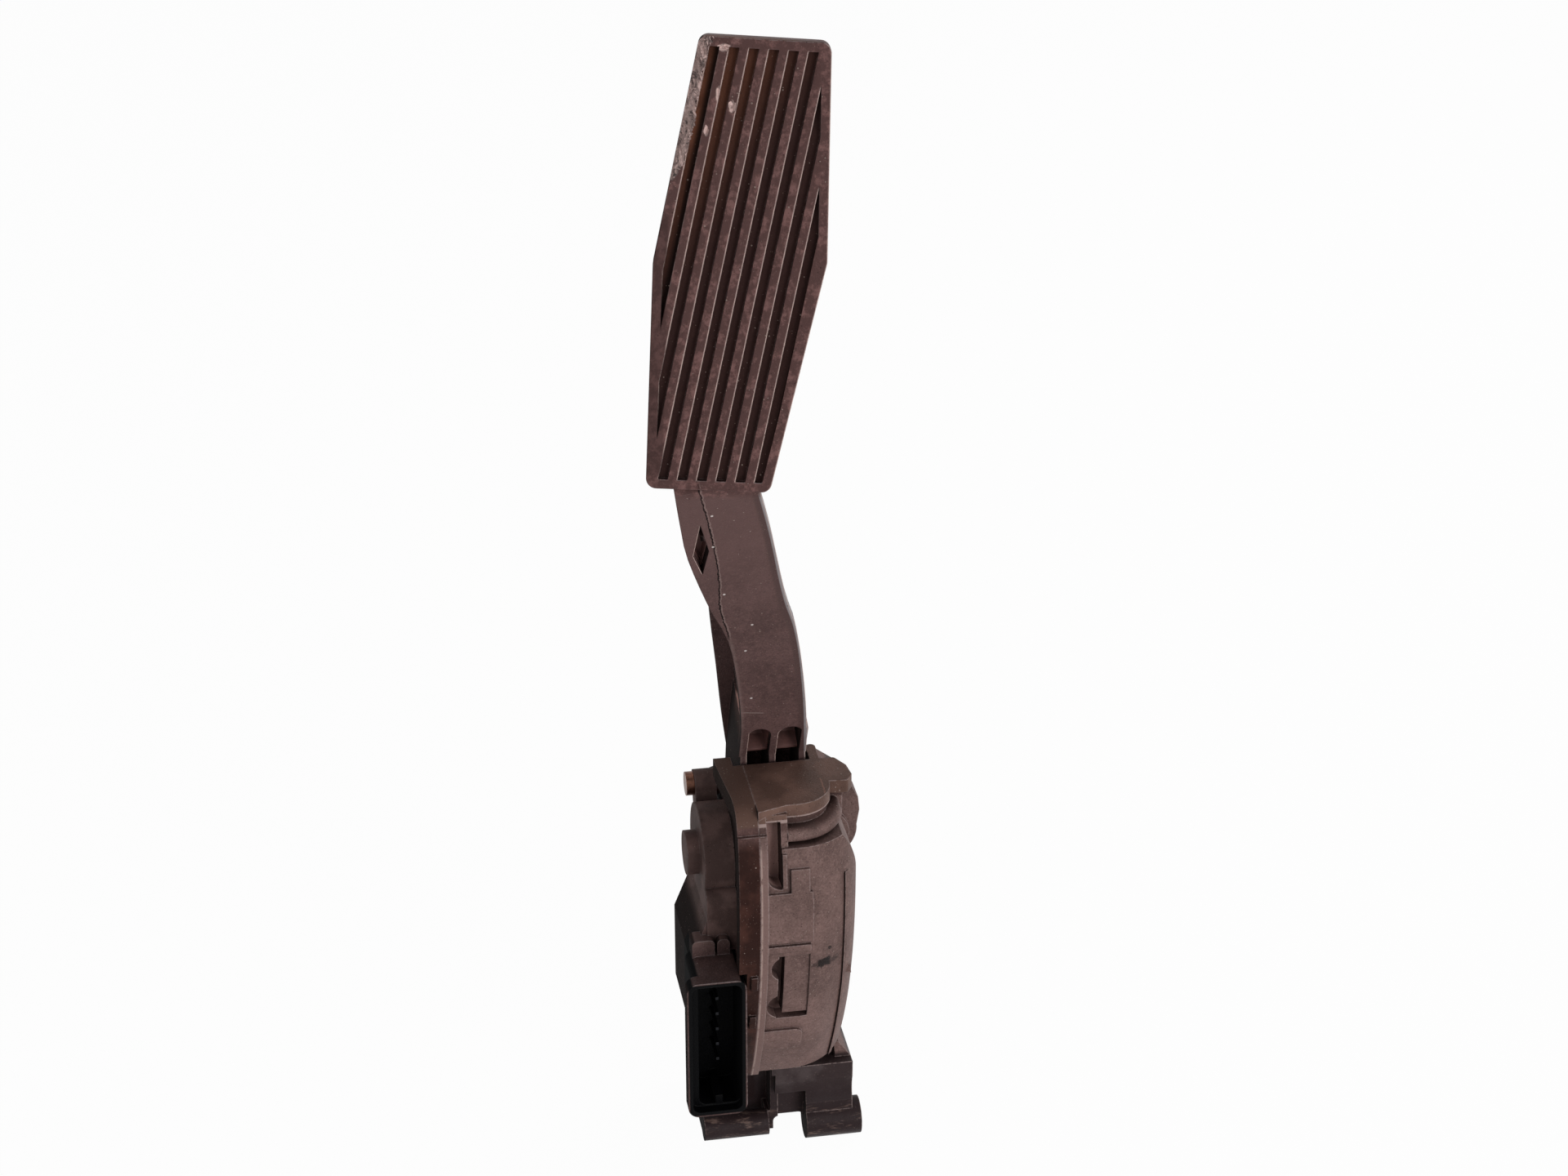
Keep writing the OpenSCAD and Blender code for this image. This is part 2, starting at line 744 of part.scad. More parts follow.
// Side view of the deeper part of the cover
module bulge_side() {
    round_poly([[shroud_back - 1, -58], [shroud_back - 1, -7], [-22, -7], [-22, -46], [-28, -58]], 2);
}

// Side view of the space for the circuit board
module cavity_side(grow) {
    at_pivot_side() circle(10.6 + grow);
    round_rect([-47 - grow, -56 - grow], [-24 + grow, -8 + grow], 1.5);
}

module at_pivot_side() {
    translate([-pivot_depth, 0]) children();
}

module seal_ring(grow) {
    difference() {
        cavity_side(1.4 + grow);
        cavity_side(0.6 - grow);
    }
}

module cover_seal() {
    color([0.06, 0.06, 0.06]) along_x(side_x - 0.8 + 0.02, side_x - 0.02) seal_ring(0);
}

module sensor_board() {
    color([0.1, 0.32, 0.16]) difference() {
        along_x(board_x, board_x + board_t) cavity_side(-0.6);
        pin_row(pin_side + 0.04, -0.02);
    }
}

module hall_sensor() {
    color([0.05, 0.05, 0.05]) at_pivot() translate([board_x + board_t + 0.01, -2, -2.5]) cube([0.9, 4, 5]);
}

module connector_pins() {
    color([0.8, 0.68, 0.35]) pin_row(pin_side, 0);
}

// Bent pins from the socket to the circuit board
module pin_row(side, shift) {
    for (i = [0 : pin_count - 1])
        translate([pin_x + shift, 0, pin_top - i * pin_pitch + shift]) {
            translate([0, pin_front + shift, 0]) cube([side, pin_back - pin_front - 2 * shift, side]);
            translate([0, pin_back - side - shift, 0])
                cube([board_x + board_t + 0.4 - pin_x - 2 * shift, side, side]);
        }
}

module cover_screws() {
    color([0.72, 0.45, 0.3])
        for (spot = screw_spots)
            translate([0, spot[0], spot[1]]) {
                rod_x(screw_head_x, ear_x - 0.02, 3.2);
                rod_x(screw_head_x + 1, side_x + side_plate_t - 0.3, 1.5);
            }
}

// Flanged bush between the shaft and a shell
module bush(x0, x1, flange_x) {
    difference() {
        union() {
            rod_x(x0, x1, bush_r);
            rod_x(flange_x, flange_x + 0.8, bush_r + 1.5);
        }
        rod_x(x0 - 1, x1 + 1, shaft_r + running_gap);
    }
}

module left_bush() {
    color([0.85, 0.83, 0.75]) at_pivot()
        bush(side_x, side_x + side_plate_t + 0.8, side_x + side_plate_t + 0.01);
}

module right_bush() {
    color([0.85, 0.83, 0.75]) at_pivot()
        bush(hub_x + 0.75, barrel_x - wall - 0.02, hub_x + 0.75);
}

module mount_sleeves() {
    color(steel_colour)
        for (eye = [[upper_eye_x, upper_eye_z], [lower_eye_x, lower_eye_z]])
            translate([eye[0], 0, eye[1]]) difference() {
                rod_y(-sleeve_len, 0, sleeve_bore_r + sleeve_wall);
                rod_y(-sleeve_len - 1, 1, sleeve_bore_r);
            }
}

// Idle stop: a soft pad on the rear edge of the top plate
module idle_stop_pad() {
    color([0.08, 0.08, 0.08])
        translate([-3, opening_y + 0.01, body_top + 1]) cube([12, stop_front - opening_y, 5]);
}

module full_stop_pad() {
    color([0.08, 0.08, 0.08]) translate([0, stop_y + 1, stop_z + 0.01]) cube([9, 14, 2.6]);
}

// Frame of the tail: Y runs out along the tail and the springs lie along minus Z
module in_tail_frame() {
    at_pivot() rotate([tail_angle, 0, 0]) children();
}

module front_spring_seat() {
    far = -seat_t - spring_len;
    color([0.3, 0.3, 0.32]) in_tail_frame() translate([spring_x, spring_arm, 0]) {
        translate([0, 0, far - 2.2]) cylinder(h = 2.2 - 0.02, r = seat_r);
        translate([0, 0, far - 1]) cylinder(h = 5, r = inner_spring_r - 2 * inner_wire_r - 0.6);
    }
    color([0.3, 0.3, 0.32]) intersection() {
        in_tail_frame() translate([spring_x - 1.5, spring_arm, far - 20]) cylinder(h = 18.5, r = 5);
        front_drum(front_r - wall - fit_gap, part_x - 3, barrel_x);
    }
}

module tail_spring_seat() {
    color([0.3, 0.3, 0.32]) in_tail_frame() translate([spring_x, spring_arm, 0]) {
        translate([0, 0, -seat_t]) cylinder(h = seat_t, r = seat_r);
        translate([0, 0, -seat_t - 4]) cylinder(h = 5, r = inner_spring_r - 2 * inner_wire_r - 0.6);
    }
}

module friction_lining() {
    color([0.45, 0.4, 0.3]) at_pivot() along_x(track_x, hub_x - 1.1)
        ring_sector(track_r, track_r + lining_t, -126, -72);
}

module friction_shoe() {
    color([0.6, 0.55, 0.4]) at_pivot() along_x(track_x + 0.2, hub_x - 1.3)
        ring_sector(track_r - shoe_t, track_r - 0.3, -106, -78);
}

// Frame of the arm: X across, Z along the arm, Y into its depth
module in_arm_frame() {
    translate(arm_root) rotate([arm_lean, 0, 0]) children();
}

// Frame of the pad: X across, Z along the pad, Y into its depth
module in_pad_frame() {
    translate(pad_centre) rotate([0, 0, pad_yaw]) rotate([-pad_tilt, 0, 0])
        rotate([0, pad_roll, 0]) children();
}

module pedal_lever() {
    color(lever_colour) difference() {
        union() {
            difference() {
                in_arm_frame() arm();
                in_pad_frame() translate([-60, -60, -80]) cube([120, 60 + pad_t - 1, 160]);
            }
            in_pad_frame() pad();
            in_pad_frame() spine();
            lever_root();
        }
        at_pivot() rod_x(lever_x - 1, hub_x + 1, shaft_r + 0.02);
    }
}

// Front view of the arm between two stations and two edge curves
module arm_view(s0, s1, left, right) {
    steps = 20;
    polygon(concat(
        [for (i = [0 : steps]) let (s = s0 + (s1 - s0) * i / steps) [curve(left, s), s]],
        [for (i = [steps : -1 : 0]) let (s = s0 + (s1 - s0) * i / steps) [curve(right, s), s]]));
}

module arm() {
    rear_right = shifted(arm_middle, rear_flange_w / 2);
    difference() {
        along_y(0, flange_t) arm_view(-3, arm_len, arm_left, arm_right);
        for (side = [-1, 1])
            along_y(-1, flange_t + 1) translate([side * 4.1, 0]) {
                translate([0, pocket_s - pocket_r]) circle(pocket_r);
                translate([-pocket_r, -12]) square([2 * pocket_r, pocket_s - pocket_r + 12]);
            }
        along_y(-1, flange_t + 1) polygon([[-24.6, 96.6], [-21.9, 86.2], [-22.9, 77], [-25.6, 84.5]]);
    }
    along_y(arm_depth - flange_t, arm_depth) arm_view(-24, arm_len + 6, arm_rear_left, rear_right);
    along_y(flange_t - cut, arm_depth - flange_t + cut)
        arm_view(4, arm_len, shifted(arm_middle, -web_t / 2), shifted(arm_middle, web_t / 2));
    for (s = [pocket_s + 2 : rib_pitch : arm_len])
        intersection() {
            along_y(1, arm_depth - 1) intersection() {
                arm_view(-3, arm_len, shifted(arm_left, rib_inset), shifted(arm_right, -rib_inset));
                arm_view(-3, arm_len, shifted(arm_rear_left, rib_inset), shifted(rear_right, -rib_inset));
            }
            translate([-60, 0, s]) cube([120, arm_depth, rib_t]);
        }
}

// Outline of the pad: a six-sided form that is the same when turned half round
module pad_view(inset) {
    scale_x = pad_w / 40;
    scale_z = pad_len / 104;
    grown = [for (p = pad_corners) [p[0] * scale_x, p[1] * scale_z]];
    round_poly(inset_points(grown, inset), max(0.4, pad_corner_r - inset));
}

// Corners of a convex outline, clockwise, moved inwards
function inset_points(p, d) = [for (i = [0 : len(p) - 1])
    let (n = len(p), a = unit(p[(i + n - 1) % n] - p[i]), b = unit(p[(i + 1) % n] - p[i]))
        p[i] + unit(a + b) * d / sin(acos(a * b) / 2)];

module pad() {
    difference() {
        along_y(0, pad_depth) pad_view(0);
        along_y(pad_t, pad_depth + 1) pad_view(2);
        intersection() {
            along_y(-1, groove_depth) pad_view(pad_border);
            for (i = [0 : groove_count - 1])
                rotate([0, groove_angle, 0])
                    translate([(i - (groove_count - 1) / 2) * groove_pitch - groove_w / 2, -1, -80])
                        cube([groove_w, groove_depth + 1, 160]);
        }
    }
    intersection() {
        along_y(pad_t - cut, pad_depth) pad_view(1);
        union() {
            for (z = [-40 : 16 : 40]) translate([-40, 0, z]) cube([80, 20, rib_t]);
            for (x = [-7, 7]) translate([x, 0, -60]) cube([rib_t, 20, 120]);
        }
    }
}

// Tapered channel that carries the arm up the back of the pad
module spine() {
    back = [[pad_depth - 1, spine_top], [spine_depth, spine_foot]];
    for (x = [spine_x - rear_flange_w / 2, spine_x - web_t / 2, spine_x + rear_flange_w / 2 - web_t])
        along_x(x, x + web_t)
            polygon([[pad_t - cut, spine_top - 2], [pad_t - cut, spine_foot - 8], [spine_depth, spine_foot],
                back[0]]);
    along_x(spine_x - rear_flange_w / 2, spine_x + rear_flange_w / 2)
        polygon([back[0], back[1], back[1] - [flange_t, 0], back[0] - [flange_t, 4]]);
}

// The lever inside the housing: hub, web, heel and tail
module lever_root() {
    stop_reach = 24;
    heel = -pivot_depth + stop_reach * cos(travel);
    heel_z = stop_reach * sin(travel);
    at_pivot() rod_x(lever_x, hub_x, hub_r);
    for (x = [lever_x + 0.1, arm_root[0] - 0.85, arm_root[0] + arm_root_w / 2 - 1.9])
        along_x(x, x + 1.7)
            polygon([[-41.5, 38.1], [-36.9, 28.8], [-36.9, 17], [-37.5, 12], [-42.5, 5],
                [-pivot_depth, 0], [heel, heel_z], [-11.8, 14], [-15.6, 31], [-20.1, 39.9],
                [-23.6, 47]]);
    along_x(lever_x + 0.3, arm_root[0] + arm_root_w / 2 - 0.4)
        polygon([[-26.5, 38], [-24.5, 38], [-21.5, 13], [-23.5, 13]]);
    along_x(lever_x + 1, arm_root[0] + arm_root_w / 2)
        polygon([[-29, 12], [-pivot_depth, 0], [heel, heel_z], [-11.8, 12]]);
    in_tail_frame() translate([spring_x - tail_w / 2, hub_r - 2, 0])
        cube([tail_w, spring_arm + seat_r - hub_r, tail_t]);
    at_pivot() along_x(track_x + 0.2, hub_x) ring_sector(hub_r - 1, track_r - shoe_t, -108, -76);
}

module pivot_shaft() {
    color(steel_colour) at_pivot() difference() {
        rod_x(shaft_x, barrel_x - wall - 0.3, shaft_r);
        clip_ring(shaft_r + 1, -0.02);
    }
}

module clip_ring(r_out, grow) {
    difference() {
        rod_x(side_x - 0.6 + grow, side_x - 0.1 - grow, r_out);
        rod_x(side_x - 1, side_x, shaft_r - 0.8);
    }
}

module shaft_clip() {
    color(steel_colour) at_pivot() clip_ring(shaft_r + 2.5, 0);
}

module sensor_rotor() {
    color([0.85, 0.85, 0.82]) at_pivot() difference() {
        rod_x(shaft_x - 0.5, side_x - 0.7, 9);
        rod_x(shaft_x - 0.02, side_x, shaft_r + 0.02);
    }
}

module sensor_magnet() {
    color([0.2, 0.2, 0.22]) at_pivot() rod_x(shaft_x - 1.3, shaft_x - 0.51, 5);
}

// Round wire wound along minus Z, closed at both ends
module coil_spring(outer_r, wire_r, length, turns) {
    sides = 8;
    per_turn = 24;
    steps = turns * per_turn;
    mean_r = outer_r - wire_r;
    rise = (length - 2 * wire_r) / steps;
    points = [for (i = [0 : steps]) let (a = i * 360 / per_turn)
        for (j = [0 : sides - 1]) let (b = j * 360 / sides)
            [(mean_r + wire_r * cos(b)) * cos(a), (mean_r + wire_r * cos(b)) * sin(a),
                -wire_r - i * rise - wire_r * sin(b)]];
    walls = [for (i = [0 : steps - 1], j = [0 : sides - 1]) let (k = (j + 1) % sides)
        [i * sides + j, i * sides + k, (i + 1) * sides + k, (i + 1) * sides + j]];
    polyhedron(points, concat(walls, [[for (j = [sides - 1 : -1 : 0]) j],
        [for (j = [0 : sides - 1]) steps * sides + j]]));
}

module outer_spring() {
    color(steel_colour) in_tail_frame() translate([spring_x, spring_arm, -seat_t - 0.1])
        coil_spring(outer_spring_r, outer_wire_r, spring_len - 0.2, 6);
}

module inner_spring() {
    color(steel_colour) in_tail_frame() translate([spring_x, spring_arm, -seat_t - 0.1])
        coil_spring(inner_spring_r, inner_wire_r, spring_len - 0.2, 8);
}

main_housing();
side_cover();
sensor_cover();
cover_seal();
sensor_board();
hall_sensor();
connector_pins();
cover_screws();
left_bush();
right_bush();
mount_sleeves();
idle_stop_pad();
full_stop_pad();
front_spring_seat();
friction_lining();
pedal_lever();
pivot_shaft();
shaft_clip();
sensor_rotor();
sensor_magnet();
tail_spring_seat();
friction_shoe();
outer_spring();
inner_spring();
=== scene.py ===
"""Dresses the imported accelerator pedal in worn, dusty moulded plastic and sets its studio."""
import math

import bmesh
import bpy
import numpy as np
from bpy.props import FloatProperty, FloatVectorProperty, IntProperty, PointerProperty
from mathutils import Matrix, Vector


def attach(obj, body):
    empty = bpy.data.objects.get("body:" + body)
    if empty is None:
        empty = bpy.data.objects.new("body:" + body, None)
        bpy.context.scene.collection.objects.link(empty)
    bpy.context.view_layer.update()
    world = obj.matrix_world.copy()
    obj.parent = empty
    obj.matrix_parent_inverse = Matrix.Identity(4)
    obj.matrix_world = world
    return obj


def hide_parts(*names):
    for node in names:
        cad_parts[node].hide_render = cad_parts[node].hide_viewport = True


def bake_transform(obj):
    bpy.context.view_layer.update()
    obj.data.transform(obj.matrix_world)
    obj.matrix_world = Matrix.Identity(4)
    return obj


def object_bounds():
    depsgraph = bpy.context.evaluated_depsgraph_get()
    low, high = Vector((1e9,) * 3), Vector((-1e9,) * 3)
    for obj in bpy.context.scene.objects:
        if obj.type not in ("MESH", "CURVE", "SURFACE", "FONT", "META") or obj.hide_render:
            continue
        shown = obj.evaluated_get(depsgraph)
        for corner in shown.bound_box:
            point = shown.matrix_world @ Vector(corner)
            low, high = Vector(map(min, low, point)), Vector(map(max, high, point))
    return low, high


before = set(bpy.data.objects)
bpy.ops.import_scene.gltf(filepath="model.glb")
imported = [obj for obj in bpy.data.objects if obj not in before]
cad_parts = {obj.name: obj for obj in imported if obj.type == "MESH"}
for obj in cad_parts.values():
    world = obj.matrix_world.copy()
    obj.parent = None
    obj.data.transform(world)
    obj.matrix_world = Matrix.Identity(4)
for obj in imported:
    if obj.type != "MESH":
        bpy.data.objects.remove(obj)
CAD_BOX = [list(corner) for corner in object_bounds()]

bl_info = {
    "name": "Accelerator pedal finishes",
    "version": (1, 0, 0),
    "blender": (4, 5, 0),
    "location": "View3D > Sidebar > Pedal",
    "description": "Moulded finishes, wear and a studio for the accelerator pedal",
    "category": "Object",
}

MM = 0.001

# Frames of the sloping pieces at idle: origin in millimetres and axes as columns
PAD_ORIGIN = Vector((-11.9, -79.0, 181.2))
PAD_TURN = (Matrix.Rotation(math.radians(-9), 3, "Z") @ Matrix.Rotation(math.radians(-12.3), 3, "X")
            @ Matrix.Rotation(math.radians(1.9), 3, "Y"))
ARM_ORIGIN = Vector((3.1, -38.0, 31.0))
ARM_TURN = Matrix.Rotation(math.radians(26.3), 3, "X")

# The left edge of the pad's face between its top and side corners, as X and Z in the pad's frame
EDGE_TOP = np.array([-9.8, 51.9])
EDGE_SIDE = np.array([-19.3, 0.3])

# The housing's curved front: a cylinder along X, with the Y and Z of its axis and its radius
DRUM_Y, DRUM_Z, DRUM_RADIUS = 48.0, -1.2, 114.0

# Heights on the housing where its top plate begins and its foot begins
PLATE_UNDER = 22.6
FOOT_TOP = -68.8

# Depth of the pad's ribs over its grooves, and the height in the pad's frame where the ribs end
RIB_DEPTH = 2.6
RIBS_END = -54.0

# Points closer than this are one point, in metres
SAME_POINT = 1e-7

# Colours that several finishes share
# Painted shade for faces that look left
PAINTED_SIDE_SHADE = (0.0065, 0.005, 0.0048)
# Painted highlight for rims that lean right
PAINTED_CATCH_LIGHT = (0.60, 0.44, 0.39)
PALE_GRAIN = (0.36, 0.27, 0.235)
PALE_MOTE = (0.30, 0.215, 0.185)

# Lamps: name, azimuth and elevation in degrees, distance and side in metres
LAMPS = (("key", 28.0, 6.0, 1.4, 0.75), ("fill", -28.0, 25.0, 1.4, 0.8), ("rim", 118.0, 35.0, 1.3, 0.5))


class PedalPlastics(bpy.types.PropertyGroup):
    """Colours of the moulded pieces."""

    housing: FloatVectorProperty(
        name="Housing", description="Front and rim of the right shell", subtype="COLOR",
        default=(0.150, 0.094, 0.085), min=0.0, max=1.0)
    cap: FloatVectorProperty(
        name="Top plate", description="Top plate and the faces that look up", subtype="COLOR",
        default=(0.098, 0.056, 0.044), min=0.0, max=1.0)
    # The recess colour is painted shade: corners, groove floors and the band under the top plate are
    # darkened towards it.
    recess_shade: FloatVectorProperty(
        name="Recess", description="Dark red-brown inside grooves and bays", subtype="COLOR",
        default=(0.018, 0.0075, 0.0065), min=0.0, max=1.0)
    cover: FloatVectorProperty(
        name="Left shell", description="Left shell and its rim", subtype="COLOR",
        default=(0.105, 0.058, 0.053), min=0.0, max=1.0)
    sensor: FloatVectorProperty(
        name="Sensor cover", description="Sensor cover and connector shroud", subtype="COLOR",
        default=(0.085, 0.051, 0.048), min=0.0, max=1.0)
    arm: FloatVectorProperty(
        name="Arm", description="Arm of the lever", subtype="COLOR",
        default=(0.092, 0.053, 0.050), min=0.0, max=1.0)
    pad: FloatVectorProperty(
        name="Pad", description="Ribs of the foot pad", subtype="COLOR",
        default=(0.082, 0.0425, 0.0395), min=0.0, max=1.0)
    torn: FloatVectorProperty(
        name="Torn plastic", description="Fresh torn plastic at the chewed edge", subtype="COLOR",
        default=(0.56, 0.40, 0.37), min=0.0, max=1.0)
    edge_radius: FloatProperty(
        name="Edge radius", description="Radius of the softened moulded edges", unit="LENGTH",
        default=0.0005, min=0.0001, max=0.002)


class PedalWear(bpy.types.PropertyGroup):
    """Wear and dust."""

    bite_inset: FloatProperty(
        name="Bite inset", description="Distance that the chewed edge reaches into the face", unit="LENGTH",
        default=0.0031, min=0.0, max=0.006)
    bite_depth: FloatProperty(
        name="Bite depth", description="Distance that the chewed edge reaches down the side wall",
        unit="LENGTH", default=0.0036, min=0.0, max=0.006)
    bite_length: FloatProperty(
        name="Bite length", description="Length of the chewed edge from the top corner", unit="LENGTH",
        default=0.033, min=0.005, max=0.05)
    bite_rows: IntProperty(
        name="Bite rows", description="Rows of points along the chewed edge", default=220, min=20, max=400)
    dust: FloatProperty(
        name="Dust", description="Share of the surface's cells that hold a dust grain", subtype="FACTOR",
        default=0.30, min=0.0, max=1.0)
    crack_width: FloatProperty(
        name="Crack width", description="Width of the crack down the arm", unit="LENGTH",
        default=0.00022, min=0.0001, max=0.001)


class PedalStudio(bpy.types.PropertyGroup):
    """Camera, floor and lamps."""

    azimuth: FloatProperty(
        name="Azimuth", description="Turn of the camera round the pedal", subtype="ANGLE",
        default=math.radians(-10))
    elevation: FloatProperty(
        name="Elevation", description="Height of the camera above the horizon", subtype="ANGLE",
        default=math.radians(27))
    distance: FloatProperty(
        name="Distance", description="Distance of the camera from its target", unit="LENGTH",
        default=0.85, min=0.2, max=3.0)
    focal_length: FloatProperty(
        name="Focal length", description="Focal length on a 36 mm wide sensor", unit="CAMERA",
        default=78.02, min=10, max=200)
    target: FloatVectorProperty(
        name="Target", description="Point in the middle of the picture", subtype="TRANSLATION",
        default=(0.004737, -0.045354, 0.08093))
    key: FloatProperty(
        name="Key", description="Power of the soft key lamp", unit="POWER", default=12.8, min=0.0, max=100.0)
    fill: FloatProperty(
        name="Fill", description="Power of the weak lamp at the front left", unit="POWER", default=3.2,
        min=0.0, max=100.0)
    rim: FloatProperty(
        name="Rim", description="Power of the lamp behind on the right", unit="POWER", default=5.0, min=0.0,
        max=100.0)
    ambience: FloatProperty(
        name="Ambience", description="Strength of the world's light", default=0.17, min=0.0, max=2.0)
    floor: FloatProperty(
        name="Floor", description="Tone of the floor", subtype="FACTOR", default=0.86, min=0.0, max=1.0)


class Nodes:
    """A node tree written as expressions."""

    def __init__(self, owner):
        owner.use_nodes = True
        self.tree = owner.node_tree
        self.tree.nodes.clear()

    def add(self, kind, inputs=None, **settings):
        node = self.tree.nodes.new(kind)
        for name, value in settings.items():
            setattr(node, name, value)
        for key, value in (inputs or {}).items():
            self.feed(node.inputs[key], value)
        return node

    def feed(self, socket, value):
        if isinstance(value, bpy.types.NodeSocket):
            self.tree.links.new(value, socket)
        elif socket.type == "RGBA" and len(value) == 3:
            socket.default_value = (*value, 1.0)
        else:
            socket.default_value = value

    def math(self, operation, a, b=0.0, clamp=False):
        return self.add("ShaderNodeMath", {0: a, 1: b}, operation=operation, use_clamp=clamp).outputs[0]

    def times(self, *factors):
        result = factors[0]
        for factor in factors[1:]:
            result = self.math("MULTIPLY", result, factor)
        return result

    def seen(self):
        """1 for rays that come from the camera, off a mirror or through glass."""
        ray = self.add("ShaderNodeLightPath").outputs
        passing = self.math("MAXIMUM", ray["Is Glossy Ray"], ray["Is Transmission Ray"])
        return self.math("MAXIMUM", ray["Is Camera Ray"], passing)

    def spread(self, value, low, high):
        """The value's range from 0 to 1 carried to a range from low to high."""
        inputs = {"Value": value, "To Min": low, "To Max": high}
        return self.add("ShaderNodeMapRange", inputs).outputs["Result"]

    def finish(self, shader, kind="ShaderNodeOutputMaterial"):
        self.tree.links.new(shader, self.add(kind).inputs[0])


class Finish(Nodes):
    """Node tree of one material. Places are in millimetres."""

    def __init__(self, name):
        self.material = bpy.data.materials.new(name)
        super().__init__(self.material)
        metres = self.add("ShaderNodeTexCoord").outputs["Object"]
        self.place = self.add("ShaderNodeVectorMath", {0: metres, "Scale": 1 / MM},
                              operation="SCALE").outputs[0]
        self.xyz = self.add("ShaderNodeSeparateXYZ", {0: self.place}).outputs
        self.normal = self.add("ShaderNodeNewGeometry").outputs["Normal"]

    def scaled(self, value, factor, start):
        """The value times factor, plus start."""
        inputs = {0: value, 1: factor, 2: start}
        return self.add("ShaderNodeMath", inputs, operation="MULTIPLY_ADD").outputs[0]

    def step(self, value, low, high):
        """Rises smoothly from 0 at low to 1 at high, or falls where high is the smaller."""
        rising = low < high
        node = self.add("ShaderNodeMapRange",
                        {"Value": value, "From Min": min(low, high), "From Max": max(low, high),
                         "To Min": 0.0 if rising else 1.0, "To Max": 1.0 if rising else 0.0},
                        interpolation_type="SMOOTHSTEP")
        return node.outputs["Result"]

    def within(self, value, low, high, soft):
        """1 between low and high, falling to 0 over soft on each side."""
        rise = self.step(value, low - soft, low + soft)
        return self.times(rise, self.step(value, high + soft, high - soft))

    def window(self, low, high, soft):
        """1 inside a box of places."""
        return self.times(*[self.within(self.xyz[i], low[i], high[i], soft) for i in range(3)])

    def mix(self, factor, a, b):
        return self.add("ShaderNodeMix", {0: factor, 6: a, 7: b}, data_type="RGBA").outputs[2]

    def mix_value(self, factor, a, b):
        return self.add("ShaderNodeMix", {0: factor, 2: a, 3: b}, data_type="FLOAT").outputs[0]

    def noise(self, scale, detail=3.0, roughness=0.55, vector=None, distortion=0.0):
        """Noise with that many features to the millimetre."""
        node = self.add("ShaderNodeTexNoise",
                        {"Vector": vector or self.place, "Scale": scale, "Detail": detail,
                         "Roughness": roughness, "Distortion": distortion})
        return node.outputs["Fac"]

    def stretched(self, factors, turn=(0.0, 0.0, 0.0)):
        """The places turned, then scaled by a factor on each axis."""
        turned = self.add("ShaderNodeMapping", {"Vector": self.place, "Rotation": turn}).outputs[0]
        return self.add("ShaderNodeMapping", {"Vector": turned, "Scale": factors}).outputs[0]

    def local(self, origin, turn):
        """Places along the three axes of a turned frame."""
        offset = self.add("ShaderNodeVectorMath", {0: self.place, 1: tuple(origin)}, operation="SUBTRACT")
        return [self.lean(offset.outputs[0], tuple(turn.col[i])) for i in range(3)]

    def grains(self, scale, size, share):
        """Round grains, one in each chosen cell of a Voronoi pattern."""
        cells = self.add("ShaderNodeTexVoronoi", {"Vector": self.place, "Scale": scale})
        chance = self.add("ShaderNodeSeparateColor", {0: cells.outputs["Color"]}).outputs
        reach = self.math("MULTIPLY", chance[1], size)
        inside = self.step(self.math("SUBTRACT", cells.outputs["Distance"], reach), size * 0.3, -size * 0.2)
        return self.times(inside, self.math("LESS_THAN", chance[0], share))

    def edges(self, radius):
        """The rounded normal, and how far it turns from the flat one."""
        rounded = self.add("ShaderNodeBevel", {"Radius": radius}, samples=8).outputs[0]
        return rounded, self.step(self.lean(rounded, self.normal), 0.998, 0.90)

    def lean(self, normal, direction):
        """How far a normal, or a place, reaches along a direction."""
        node = self.add("ShaderNodeVectorMath", {0: normal, 1: direction}, operation="DOT_PRODUCT")
        return node.outputs["Value"]

    def hollow(self, distance):
        """1 in corners and slots that little light reaches."""
        node = self.add("ShaderNodeAmbientOcclusion", {"Distance": distance}, samples=6, only_local=True)
        return self.math("SUBTRACT", 1.0, node.outputs["AO"], clamp=True)

    def bump(self, height, distance, normal=None):
        inputs = {"Height": height, "Distance": distance}
        if normal is not None:
            inputs["Normal"] = normal
        return self.add("ShaderNodeBump", inputs).outputs[0]

    def shade(self, colour, roughness, normal, **constants):
        """Closes the tree with a Principled surface. Constants stay on the sockets."""
        inputs = {"Base Color": colour, "Roughness": roughness, "Normal": normal, **constants}
        self.finish(self.add("ShaderNodeBsdfPrincipled", inputs).outputs[0])
        return self.material


def darker(colour, share):
    return tuple(channel * share for channel in colour)


